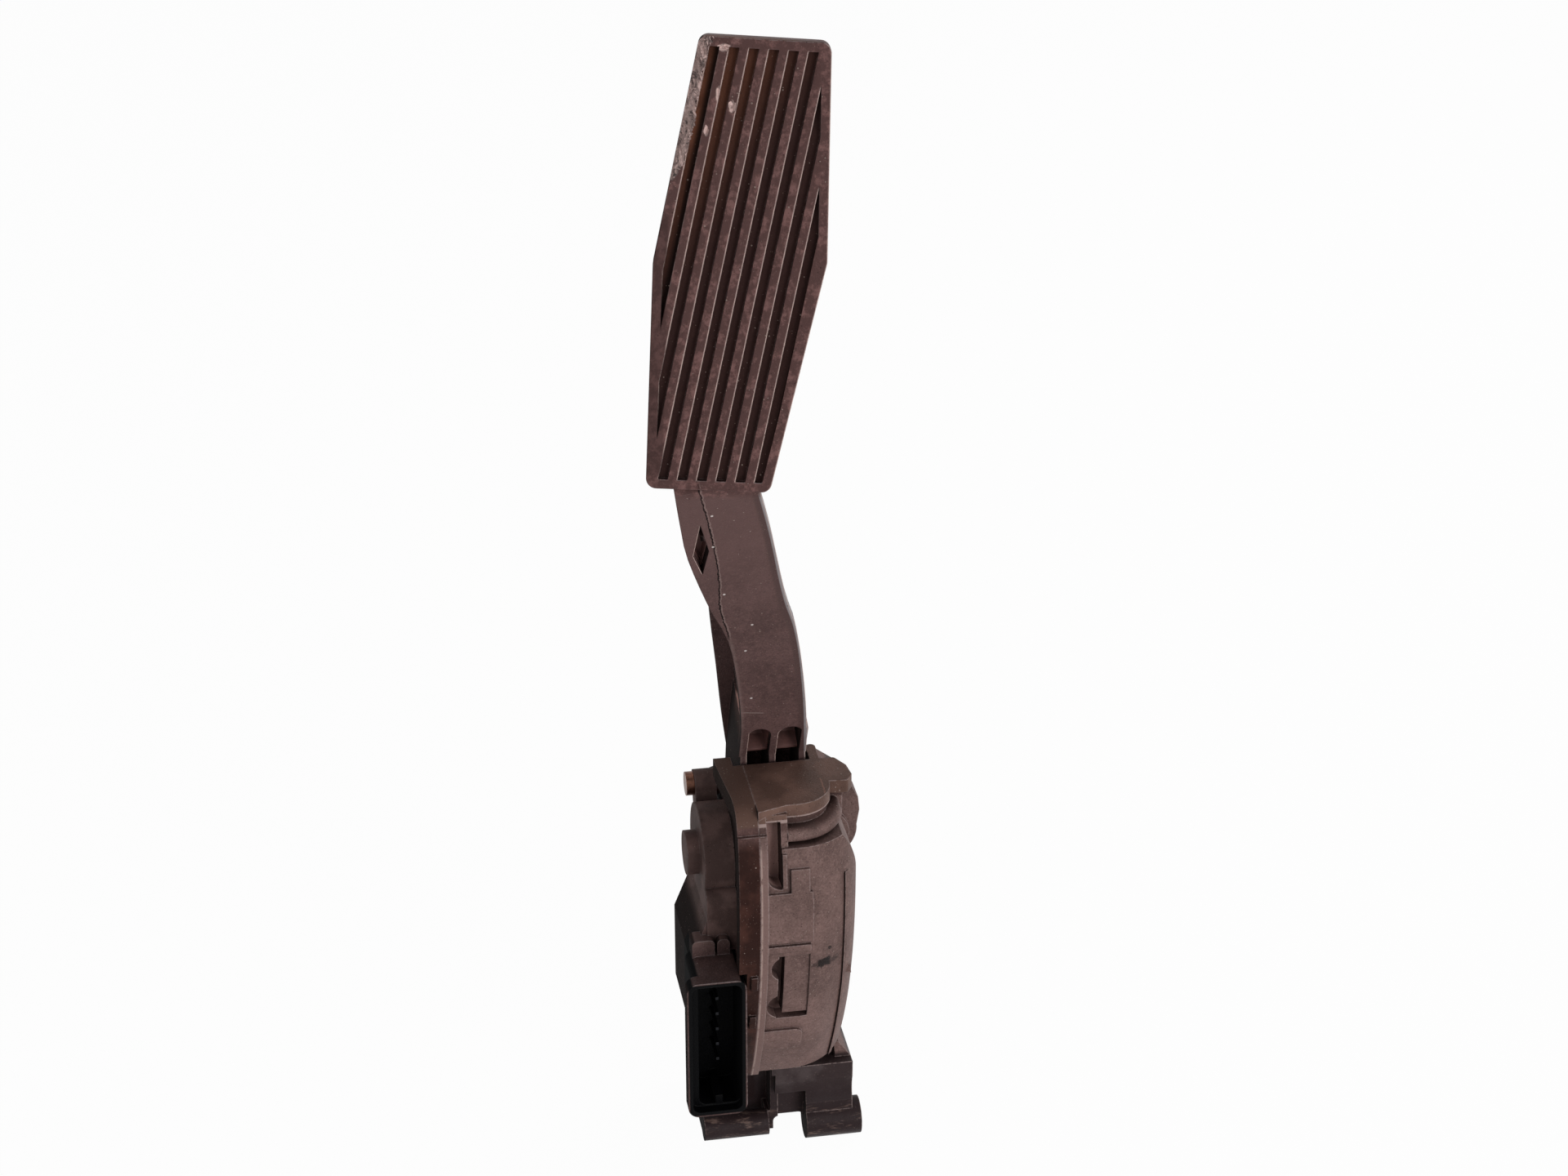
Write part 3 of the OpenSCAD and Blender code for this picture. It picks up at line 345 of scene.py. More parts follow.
def moulded(name, base, context, layers=(), roughness=0.52, dust=1.0, specular=0.07, left_shade=0.0,
            catch=None, cover=None):
    """Moulded plastic: cloudy colour, fine grain, worn edges with painted highlights, painted shade in
    corners, and dust grains.

    Each layer is a function of the finish that returns a mask, a colour and a roughness. Faces that look
    left are painted dark as shade by the share left_shade, and rims that lean right get a pale painted
    highlight where the mask catch says. The function cover returns a mask and a colour that lie over wear
    and dust."""
    plastics, wear = context.scene.pedal_plastics, context.scene.pedal_wear
    f = Finish(name)
    clouds = f.noise(0.075, 4.0, 0.6)
    streaks = f.noise(0.35, 3.0, 0.6, f.stretched((1.0, 0.35, 0.12), (0.0, 0.0, 0.4)))
    fine = f.noise(1.9, 4.0, 0.7)
    tone = f.mix(f.step(clouds, 0.32, 0.68), darker(base, 0.78), darker(base, 1.2))
    tone = f.mix(f.times(f.step(streaks, 0.5, 0.8), 0.35), tone, darker(base, 1.5))
    mottle = f.noise(0.5, 4.0, 0.75)
    tone = f.mix(f.times(f.step(mottle, 0.5, 0.66), 0.4), tone, darker(base, 1.55))
    tone = f.mix(f.times(f.step(mottle, 0.48, 0.34), 0.4), tone, darker(base, 0.6))
    tone = f.mix(f.times(f.step(fine, 0.5, 0.66), 0.55), tone, darker(base, 0.55))
    tone = f.mix(f.times(f.step(fine, 0.46, 0.32), 0.5), tone, darker(base, 1.8))
    rough = f.scaled(fine, 0.16, roughness - 0.08)
    for layer in layers:
        mask, colour, layer_roughness = layer(f, tone)
        tone = f.mix(mask, tone, colour)
        rough = f.mix_value(mask, rough, layer_roughness)
    # Painted shade: faces that look left are darkened and roughened by the share left_shade.
    if left_shade:
        turned = f.times(f.step(f.lean(f.normal, (-1.0, 0.0, 0.0)), 0.3, 0.7), left_shade)
        tone = f.mix(turned, tone, PAINTED_SIDE_SHADE)
        rough = f.mix_value(turned, rough, 0.95)
    # Painted shade: corners and slots that little light reaches are darkened towards the recess colour.
    hollow = f.hollow(0.004)
    tone = f.mix(f.times(f.step(hollow, 0.2, 0.95), 0.75), tone, plastics.recess_shade[:])
    rounded, edge = f.edges(plastics.edge_radius)
    rub = f.noise(0.9, 3.0, 0.7)
    # Worn edges are lightened where rubbed, and only where they lean up and to the front right, as a painted
    # highlight.
    highlight_lean = f.step(f.lean(rounded, (0.35, -0.5, 0.79)), 0.1, 0.6)
    worn = f.times(edge, f.step(rub, 0.3, 0.6), f.step(hollow, 0.8, 0.4), highlight_lean, 0.75)
    tone = f.mix(worn, tone, tuple(min(1.0, c * 1.6 + 0.14) for c in base))
    # Painted highlight: pale catch-lines on rounded rims that lean right, where the mask catch says.
    if catch:
        right = f.step(f.lean(rounded, (1.0, 0.0, 0.0)), 0.34, 0.54)
        beside_wall = f.step(f.lean(f.normal, (0.99, -0.1, 0.0)), 0.75, 0.5)
        tone = f.mix(f.times(right, f.step(rub, 0.1, 0.4), catch(f), beside_wall), tone, PAINTED_CATCH_LIGHT)
    dry = f.scaled(f.step(f.xyz[2], -72.0, -67.0), 0.85, 0.15)
    specks = f.times(f.grains(0.95, 0.20, wear.dust * dust), dry)
    motes = f.times(f.grains(2.4, 0.26, wear.dust * dust * 0.7), dry)
    tone = f.mix(f.times(specks, 0.6), tone, PALE_GRAIN)
    tone = f.mix(f.times(motes, 0.45), tone, PALE_MOTE)
    pits = f.grains(1.5, 0.24, wear.dust * dust * 0.6)
    tone = f.mix(f.times(pits, 0.7), tone, darker(base, 0.2))
    if cover:
        mask, colour = cover(f)
        tone = f.mix(mask, tone, colour)
    height = f.math("ADD", f.times(fine, 0.8), f.times(specks, 0.9))
    height = f.math("ADD", height, f.times(clouds, 0.6))
    normal = f.bump(height, 0.00016, rounded)
    return f.shade(tone, rough, normal, **{"Specular IOR Level": specular})


def metal(name, colour, roughness, stain):
    """Plated or ground metal: fine turned lines, cloudy stain and a little wear."""
    f = Finish(name)
    clouds = f.noise(0.8, 4.0, 0.6)
    lines = f.noise(2.0, 2.0, 0.5, f.stretched((0.2, 3.0, 3.0)))
    tone = f.mix(f.times(f.step(clouds, 0.4, 0.75), 0.6), colour, stain)
    rough = f.spread(lines, roughness - 0.08, roughness + 0.14)
    rounded, edge = f.edges(0.0002)
    normal = f.bump(f.math("ADD", lines, clouds), 0.00002, rounded)
    tone = f.mix(f.times(edge, 0.4), tone, tuple(min(1.0, c * 1.4) for c in colour))
    return f.shade(tone, rough, normal, Metallic=1.0)


def plain_plastic(name, colour, roughness, fleck=0.0, corner_shade=0.6):
    """Small moulded piece: cloudy tone, a little painted shade in the corners and fine grain."""
    f = Finish(name)
    clouds = f.noise(0.5, 4.0, 0.6)
    fine = f.noise(3.0, 3.0, 0.6)
    tone = f.mix(f.step(clouds, 0.35, 0.7), darker(colour, 0.8), darker(colour, 1.1))
    # Painted shade in the corners, by the share given.
    tone = f.mix(f.times(f.hollow(0.003), corner_shade), tone, darker(colour, 0.3))
    if fleck:
        tone = f.mix(f.times(f.grains(1.6, 0.3, 0.4), fleck), tone, darker(colour, 2.0))
    rounded, edge = f.edges(0.00025)
    tone = f.mix(f.times(edge, 0.25), tone, darker(colour, 1.5))
    rough = f.spread(fine, roughness - 0.06, roughness + 0.1)
    return f.shade(tone, rough, f.bump(fine, 0.00003, rounded))


def circuit_finish(name):
    """Solder-masked board: green mask over a faint weave, with lighter tracks."""
    f = Finish(name)
    weave = f.add("ShaderNodeTexWave", {"Vector": f.place, "Scale": 2.0, "Distortion": 0.4},
                  bands_direction="Z").outputs["Fac"]
    tracks = f.step(f.noise(0.5, 1.0, 0.3, f.stretched((1.0, 1.0, 0.15))), 0.52, 0.56)
    tone = f.mix(tracks, (0.012, 0.09, 0.035), (0.03, 0.17, 0.07))
    tone = f.mix(f.times(weave, 0.2), tone, (0.02, 0.06, 0.03))
    return f.shade(tone, f.step(weave, -1.0, 2.5), f.bump(tracks, 0.00003))


def finish_node(name, material):
    """Puts a material in a CAD node's first slot."""
    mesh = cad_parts[name].data
    if not mesh.materials:
        mesh.materials.append(material)
    mesh.materials[0] = material


def reach_from(f, x, z, centre):
    """Distance in a plane from a point."""
    dx, dz = f.math("SUBTRACT", x, centre[0]), f.math("SUBTRACT", z, centre[1])
    return f.math("SQRT", f.math("ADD", f.times(dx, dx), f.times(dz, dz)))


def drum_depth(f):
    """Depth below the housing's curved front."""
    return f.math("SUBTRACT", DRUM_RADIUS, reach_from(f, f.xyz[1], f.xyz[2], (DRUM_Y, DRUM_Z)))


class PEDAL_OT_housing(bpy.types.Operator):
    """Finish both shells of the housing"""

    bl_idname = "pedal.finish_housing"
    bl_label = "Finish housing"

    def execute(self, context):
        plastics = context.scene.pedal_plastics

        def cap(f, tone):
            cloud = f.step(f.noise(0.12, 3.0), 0.35, 0.7)
            colour = f.mix(cloud, plastics.cap[:], darker(plastics.cap, 1.7))
            return f.step(f.xyz[2], PLATE_UNDER, PLATE_UNDER + 0.8), colour, 0.42

        def cap_crack(f, tone):
            bend = f.times(f.noise(0.5, 2.0), 1.2)
            line = f.math("ABSOLUTE", f.math("SUBTRACT", f.math("SUBTRACT", f.xyz[0], bend), 12.9))
            mask = f.times(f.step(line, 0.28, 0.10), f.within(f.xyz[1], -56.5, -48.5, 0.5),
                           f.step(f.xyz[2], 26.8, 26.95))
            return mask, darker(plastics.cap, 2.4), 0.6

        # Painted light and shade in the bays of the housing's front: pale at the left, dark at the right,
        # and a middle tone low down.
        def bays(f, tone):
            deep = f.step(drum_depth(f), 1.0, 2.2)
            front = f.times(f.within(f.xyz[0], -3.2, 10.0, 0.4), f.within(f.xyz[2], -40.5, 21.5, 0.8),
                            f.step(f.xyz[1], -40.0, -44.0))
            lower = f.step(f.xyz[2], 0.0, -4.0)
            dark, pale, middle = [darker(plastics.housing, share) for share in (0.5, 3.4, 1.5)]
            lit = f.mix(f.step(f.xyz[0], 3.5, 0.5), dark, pale)
            return f.times(deep, front, 0.9), f.mix(lower, lit, middle), 0.6

        # Painted highlight: a broken pale line along the rib on the right of the housing's curved front.
        def side_rib_highlight(f, tone):
            skin = f.times(f.step(drum_depth(f), 0.8, 0.5), f.within(f.xyz[2], -57.0, 1.0, 0.5))
            pale = f.times(f.within(f.xyz[0], 19.4, 20.3, 0.25), f.step(f.noise(0.4, 3.0, 0.7), 0.25, 0.5))
            return f.times(skin, pale, 0.65), (0.34, 0.25, 0.225), 0.5

        # Painted shade: the lobe at the upper right of the housing is dark.
        def lobe_shade(f, tone):
            mask = f.times(f.step(f.xyz[0], 23.2, 24.4), f.step(f.xyz[2], -6.0, 6.0), 0.85)
            return mask, (0.034, 0.019, 0.016), 0.45

        # Painted highlight: a broken pale line along the lower front edge of the top plate.
        def plate_edge_highlight(f, tone):
            mask = f.times(f.within(f.xyz[2], 22.9, 23.7, 0.15), f.step(f.xyz[1], -50.0, -54.0),
                           f.step(f.noise(0.4, 3.0, 0.7), 0.25, 0.45), 0.75)
            return mask, (0.40, 0.30, 0.28), 0.42

        # Painted shade: a dark red-brown band under the top plate.
        def neck_shade(f, tone):
            mask = f.times(f.within(f.xyz[2], 20.6, 23.0, 0.5), 0.55)
            return mask, darker(plastics.recess_shade, 2.0), 0.55

        def foot(f, tone):
            mask = f.times(f.step(f.xyz[2], FOOT_TOP, FOOT_TOP - 1.8), f.step(f.xyz[1], -50.0, -46.0), 0.94)
            cloud = f.step(f.noise(0.12, 3.0), 0.4, 0.65)
            return mask, f.mix(cloud, (0.028, 0.019, 0.020), (0.064, 0.049, 0.050)), 0.4

        # Painted shadow: the left part of the foot, from below the shroud down to the lips, is near black.
        def left_foot_shadow(f, tone):
            mask = f.times(f.step(f.xyz[0], 0.5, -1.0), f.step(f.xyz[2], -62.0, -66.0),
                           f.step(f.xyz[2], -88.0, -85.0), 0.85)
            return mask, (0.016, 0.008, 0.008), 0.45

        # Painted shade: the lower front of the foot is darker.
        def under_foot_shade(f, tone):
            mask = f.times(f.step(f.xyz[2], -76.0, -82.0), f.step(f.xyz[1], -50.0, -46.0), 0.85)
            return mask, (0.024, 0.015, 0.016), 0.38

        # The rim strip is a lighter tone, and a broken pale line along its left edge is a painted highlight.
        def rim(f, tone):
            mask = f.times(f.within(f.xyz[0], -5.2, -2.9, 0.1), f.step(drum_depth(f), -0.4, -0.8),
                           f.step(f.xyz[2], 19.0, 16.0), 0.8)
            line = f.times(f.within(f.xyz[0], -5.1, -4.5, 0.15), f.step(f.noise(0.4, 3.0, 0.7), 0.3, 0.5))
            return mask, f.mix(line, darker(plastics.housing, 1.3), (0.40, 0.29, 0.26)), 0.45

        def smear(f, tone):
            ragged = f.times(f.math("SUBTRACT", f.noise(0.9, 3.0, 0.7), 0.5), 2.2)
            height = f.math("ADD", f.xyz[2], ragged)
            wide = f.times(f.within(height, -20.4, -18.9, 0.35), f.within(f.xyz[0], 8.6, 16.2, 0.5))
            patch = f.times(f.within(f.xyz[0], 10.2, 14.0, 0.5), f.within(height, -21.0, -18.2, 0.4))
            dot = f.times(f.within(height, -15.6, -14.9, 0.2), f.within(f.xyz[0], 13.1, 14.1, 0.25))
            mask = f.math("MAXIMUM", f.math("MAXIMUM", f.times(wide, 0.6), patch), dot)
            return f.times(mask, f.step(f.xyz[1], -55.0, -58.0), 0.93), (0.006, 0.004, 0.004), 0.35

        # Painted highlight: pale streaks along the front lip of the foot.
        def lip_highlight(f, tone):
            streaks = f.step(f.noise(0.5, 3.0, 0.7, f.stretched((0.35, 1.0, 1.5))), 0.52, 0.72)
            mask = f.times(streaks, f.step(f.xyz[2], -83.0, -86.0), f.step(f.xyz[1], -30.0, -36.0), 0.4)
            return mask, (0.36, 0.24, 0.20), 0.3

        layers = (cap, neck_shade, cap_crack, plate_edge_highlight, lobe_shade, rim, side_rib_highlight, bays, foot, under_foot_shade, left_foot_shadow,
                  smear, lip_highlight)
        finish_node("main_housing", moulded("housing plastic", plastics.housing[:], context, layers=layers,
                                            dust=1.7, left_shade=0.9))

        # Painted shade: the left shell's front strip, left of the rim and below the top plate, is dark
        # red-brown.
        def front_strip_shade(f, tone):
            cloud = f.step(f.noise(0.14, 3.0), 0.4, 0.7)
            colour = f.mix(cloud, (0.022, 0.0085, 0.0065), (0.060, 0.024, 0.018))
            return f.times(f.step(f.xyz[0], -5.0, -5.3), f.step(f.xyz[2], 22.0, 17.0), 0.94), colour, 0.42

        def cover_top(f, tone):
            return f.step(f.xyz[2], PLATE_UNDER, PLATE_UNDER + 1.0), darker(plastics.cap, 1.15), 0.42

        finish_node("side_cover", moulded("left shell plastic", plastics.cover[:], context,
                                          layers=(front_strip_shade, cover_top), left_shade=0.9, specular=0.04))
        return {"FINISHED"}


class PEDAL_OT_sensor(bpy.types.Operator):
    """Finish the sensor cover, the connector and what they enclose"""

    bl_idname = "pedal.finish_sensor"
    bl_label = "Finish sensor side"

    def execute(self, context):
        plastics = context.scene.pedal_plastics

        # Painted shade: the inside of the connector shroud is near black, over wear and dust.
        def socket(f):
            low, high = (-23.9, -66.9, -62.1), (-9.0, -40.0, -21.4)
            return f.window(low, high, 0.12), (0.0016, 0.0016, 0.002)

        def cup(f, tone):
            cloud = f.step(f.noise(0.16, 3.0), 0.4, 0.65)
            colour = f.mix(cloud, darker(plastics.housing, 0.75), darker(plastics.housing, 1.25))
            return f.times(f.step(f.xyz[2], -20.0, -14.0), 0.92), colour, 0.5

        # Painted shade: faces that look left are darkened, fully low down and by about a third higher up.
        def left_flank_shade(f, tone):
            turned = f.step(f.lean(f.normal, (-1.0, 0.0, 0.0)), 0.3, 0.7)
            low = f.step(f.xyz[2], -12.0, -18.0)
            return f.times(turned, f.math("MAXIMUM", low, 0.35), 0.92), PAINTED_SIDE_SHADE, 0.95

        def polish(f, tone):
            smooth = f.step(f.noise(0.25, 3.0, 0.6), 0.5, 0.7)
            return f.times(smooth, f.step(f.xyz[2], -19.0, -22.0), 0.35), (0.085, 0.075, 0.08), 0.3

        layers = (cup, polish, left_flank_shade)
        shell = moulded("sensor cover plastic", plastics.sensor[:], context, layers=layers, roughness=0.45,
                        dust=0.5, specular=0.05, cover=socket)
        finishes = {
            "sensor_cover": shell,
            "cover_seal": plain_plastic("seal rubber", (0.02, 0.02, 0.021), 0.7),
            "sensor_board": circuit_finish("circuit board"),
            "hall_sensor": plain_plastic("sensor package", (0.02, 0.02, 0.022), 0.4, fleck=0.3),
            # The tinned pins are painted near black, as shade inside the shroud.
            "connector_pins": metal("tinned pins", (0.018, 0.018, 0.021), 0.4, (0.006, 0.006, 0.006)),
            "cover_screws": metal("copper screws", (0.16, 0.075, 0.052), 0.34, (0.03, 0.014, 0.01)),
        }
        for name, material in finishes.items():
            finish_node(name, material)
        return {"FINISHED"}


# Courses on the arm's front face: height along the arm and X, in millimetres, up to COURSE_TOP and
# within COURSE_SIDE of the middle
COURSE_TOP, COURSE_SIDE = 120.0, 40.0
CRACK_COURSE = ((0.0, -8.7), (16.5, -9.5), (36.5, -12.3), (51.0, -14.9), (61.9, -17.6), (75.5, -18.9),
                (97.3, -22.8), (108.7, -25.4), (120.0, -27.6))
ARM_RIGHT = ((0.0, 8.8), (26.8, 6.1), (51.8, 2.0), (64.0, -1.4), (92.3, -7.4), (112.0, -12.2),
             (120.0, -14.2))

# Small painted glints on the arm's front face, as X and height in the arm's frame
GLINT_SPOTS = ((-22.0, 99.7), (-21.0, 87.7), (-17.1, 68.4), (-9.3, 55.0), (-10.2, 44.2), (-7.3, 23.4))


def aside(f, height, course):
    """X at a height along the arm, read from a smooth curve through a course's points."""
    curve = f.add("ShaderNodeFloatCurve", {"Value": f.math("DIVIDE", height, COURSE_TOP)})
    points = curve.mapping.curves[0].points
    for i, (up, across) in enumerate(course):
        spot = (up / COURSE_TOP, (across + COURSE_SIDE) / (2 * COURSE_SIDE))
        if i < 2:
            points[i].location = spot
        else:
            points.new(*spot)
    curve.mapping.update()
    return f.math("SUBTRACT", f.times(curve.outputs[0], 2 * COURSE_SIDE), COURSE_SIDE)


def crack_mask(f, wear):
    """The crack runs down the arm's front face along a curve of X against height."""
    along_x, depth, height = f.local(ARM_ORIGIN, ARM_TURN)
    jitter = f.times(f.math("SUBTRACT", f.noise(0.6, 3.0, 0.7), 0.5), 1.1)
    off = f.math("SUBTRACT", f.math("ADD", along_x, jitter), aside(f, height, CRACK_COURSE))
    face = f.times(f.step(depth, 0.5, 0.2), f.step(depth, -1.5, -0.5), f.within(height, 50.0, 112.0, 2.0))
    half = wear.crack_width / MM / 2
    dark = f.times(f.step(f.math("ABSOLUTE", off), half * 2.2, half * 0.7), face)
    lit = f.times(f.within(off, half * 2.4, half * 5.0, half), face)
    ridge = f.times(f.within(off, -0.4, 0.6, 0.5), f.step(depth, 0.5, 0.2), f.step(height, 54.0, 46.0), 0.5)
    return dark, lit, ridge


def quads_between(a, b, c, d):
    """Faces whose four corners are the matching entries of four arrays of point numbers."""
    return np.stack([a, b, c, d], axis=-1).reshape(-1, 4)


def shell_mesh(name, points, quads):
    """A closed mesh from points in metres: doubled points are merged and the faces look outwards."""
    mesh = bpy.data.meshes.new(name)
    mesh.from_pydata(points.tolist(), [], quads.tolist())
    whole = bmesh.new()
    whole.from_mesh(mesh)
    bmesh.ops.remove_doubles(whole, verts=whole.verts, dist=SAME_POINT)
    bmesh.ops.recalc_face_normals(whole, faces=whole.faces)
    whole.to_mesh(mesh)
    whole.free()
    return mesh


def place(name, data):
    """A new object at the origin, linked to the scene."""
    thing = bpy.data.objects.new(name, data)
    bpy.context.scene.collection.objects.link(thing)
    return thing


def settle(piece):
    """Turns a piece's modifiers into its mesh."""
    mesh = bpy.data.meshes.new_from_object(piece.evaluated_get(bpy.context.evaluated_depsgraph_get()))
    piece.modifiers.clear()
    piece.data = mesh


def value_noise(u, v, seed):
    """Smooth noise from 0 to 1: a lattice of random values, blended by smooth steps in both parameters."""
    lattice = np.random.RandomState(seed).rand(64, 64)
    iu, iv = np.floor(u).astype(int), np.floor(v).astype(int)
    fu, fv = u - iu, v - iv
    fu, fv = fu * fu * (3 - 2 * fu), fv * fv * (3 - 2 * fv)
    a, b = lattice[iu % 64, iv % 64], lattice[(iu + 1) % 64, iv % 64]
    c, d = lattice[iu % 64, (iv + 1) % 64], lattice[(iu + 1) % 64, (iv + 1) % 64]
    return (a * (1 - fu) + b * fu) * (1 - fv) + (c * (1 - fu) + d * fu) * fv


def to_pad(points):
    """Pad-frame millimetres to metres in the shared frame."""
    return (points @ np.array(PAD_TURN).T + np.array(PAD_ORIGIN)) * MM


def bite_sheet(wear):
    """The torn surface, and a smooth one outside the pad that closes the cutter.

    Along the edge (first parameter) the sheet is a straight line from a point inside the face to a
    point down the side wall (second parameter), both moved by noise, and ridges that run slantwise
    across it are added along its normal."""
    rows, columns = wear.bite_rows, 60
    run = np.linspace(-0.06, 1.0, rows)[:, None] * np.ones((1, columns))
    cross = np.ones((rows, 1)) * np.linspace(-0.35, 1.35, columns)[None, :]
    length = wear.bite_length / MM
    along = EDGE_SIDE - EDGE_TOP
    along = along / np.linalg.norm(along)
    outward = np.array([along[1], -along[0]])
    outward = -outward if outward[0] > 0 else outward
    fade = np.clip((1.02 - run) / 0.3, 0.0, 1.0) ** 0.6
    slow = value_noise(run * 9, run * 0 + 2, 3) - 0.5
    inset = (wear.bite_inset / MM) * fade * (1.0 + 0.45 * slow) - 0.25 * (1 - fade)
    depth = (wear.bite_depth / MM) * fade * (0.5 + value_noise(run * 7, run * 0 + 5, 8))
    depth = depth - 0.25 * (1 - fade)
    slant = run * length * 0.9 + cross * 5.0
    ridges = np.abs(value_noise(slant * 0.9, cross * 2.0, 11) - 0.5) * 2
    ridges = ridges + 0.5 * np.abs(value_noise(slant * 2.6, cross * 5.0, 12) - 0.5) * 2
    grain = value_noise(run * length * 3.0, cross * 14.0, 13) - 0.5
    swell = (0.85 * (ridges - 0.6) + 0.4 * grain) * fade
    edge = EDGE_TOP[None, None, :] + along[None, None, :] * (run * length)[..., None]
    inner = -inset * (1 - cross)
    x = edge[..., 0] + outward[0] * inner
    z = edge[..., 1] + outward[1] * inner
    y = depth * cross
    slope = np.hypot(inset, depth) + 0.3
    push_out, push_up = depth / slope, inset / slope
    x = x + outward[0] * swell * push_out
    z = z + outward[1] * swell * push_out
    y = y - swell * push_up
    sheet = np.stack([x, y, z], axis=-1)
    far = np.stack([x + outward[0] * 9.0, y - 7.0, z + outward[1] * 9.0], axis=-1)
    return sheet, far


def closed_between(name, sheet, far):
    """A closed mesh from two grids that face each other, joined along their borders."""
    rows, columns = sheet.shape[:2]
    count = rows * columns
    index = np.arange(count).reshape(rows, columns)
    front = quads_between(index[:-1, :-1], index[1:, :-1], index[1:, 1:], index[:-1, 1:])
    back = front[:, ::-1] + count
    border = np.concatenate([index[0, :-1], index[:-1, -1], index[-1, :0:-1], index[:0:-1, 0]])
    onward = np.roll(border, -1)
    sides = quads_between(border, onward, onward + count, border + count)
    points = np.concatenate([sheet.reshape(-1, 3), far.reshape(-1, 3)])
    return shell_mesh(name, to_pad(points), np.concatenate([front, back, sides]))


def chip(centre, reach, deep, seed):
    """A dent cutter: a ball whose radius is moved by noise, flattened in depth, as a grid round and up."""
    turn, rise = np.meshgrid(np.linspace(0, 2 * np.pi, 33)[:-1], np.linspace(0.0, np.pi, 18), indexing="ij")
    radius = 0.75 + 0.5 * value_noise(turn * 2.2 + 3, rise * 3, seed)
    x = reach[0] * radius * np.sin(rise) * np.cos(turn) + centre[0]
    y = deep * radius * np.cos(rise) - 0.1
    z = reach[1] * radius * np.sin(rise) * np.sin(turn) + centre[1]
    points = np.stack([x, y, z], axis=-1).reshape(-1, 3)
    index = np.arange(x.size).reshape(x.shape)
    onward = np.roll(index, -1, axis=0)
    quads = quads_between(index[:, :-1], onward[:, :-1], onward[:, 1:], index[:, 1:])
    return shell_mesh("chip", to_pad(points), quads)


def merged_copy(node, name):
    """A copy of a CAD node with its doubled points merged."""
    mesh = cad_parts[node].data.copy()
    mesh.name = name
    whole = bmesh.new()
    whole.from_mesh(mesh)
    bmesh.ops.remove_doubles(whole, verts=whole.verts, dist=1e-6)
    whole.to_mesh(mesh)
    whole.free()
    return place(name, mesh)


def carve(piece, cutter_meshes):
    """Cuts closed meshes out of a piece and keeps their material on the cut.

    Flat faces are joined afterwards, and the normals are evened by area, so that no face looks bent."""
    for mesh in cutter_meshes:
        cutter = place(mesh.name, mesh)
        cut = piece.modifiers.new("cut", "BOOLEAN")
        cut.object, cut.operation, cut.solver = cutter, "DIFFERENCE", "EXACT"
        cut.material_mode = "TRANSFER"
        settle(piece)
        bpy.data.objects.remove(cutter)
    whole = bmesh.new()
    whole.from_mesh(piece.data)
    bmesh.ops.dissolve_limit(whole, angle_limit=math.radians(0.3), verts=whole.verts, edges=whole.edges,
                             delimit={"MATERIAL"})
    whole.to_mesh(piece.data)
    whole.free()
    piece.data.shade_smooth()
    piece.data.set_sharp_from_angle(angle=math.radians(28))
    even = piece.modifiers.new("even normals", "WEIGHTED_NORMAL")
    even.keep_sharp = True
    even.weight = 100
    settle(piece)


def torn_finish(context):
    """Torn plastic: slanting fibres from dark red-brown to pale pink."""
    plastics = context.scene.pedal_plastics
    f = Finish("torn plastic")
    fibres = f.noise(0.5, 5.0, 0.72, f.stretched((1.0, 1.0, 0.4), (0.0, 0.7, 0.0)), 0.8)
    lumps = f.noise(0.32, 3.0, 0.6)
    tone = f.mix(f.step(fibres, 0.36, 0.5), darker(plastics.torn, 0.15), plastics.torn[:])
    tone = f.mix(f.times(f.step(lumps, 0.54, 0.64), 0.6), tone, darker(plastics.torn, 0.22))
    tone = f.mix(f.times(f.grains(1.6, 0.3, 0.5), 0.7), tone, (0.62, 0.5, 0.47))
    return f.shade(tone, f.step(fibres, -0.4, 1.1), f.bump(fibres, 0.0003), **{"Specular IOR Level": 0.3})


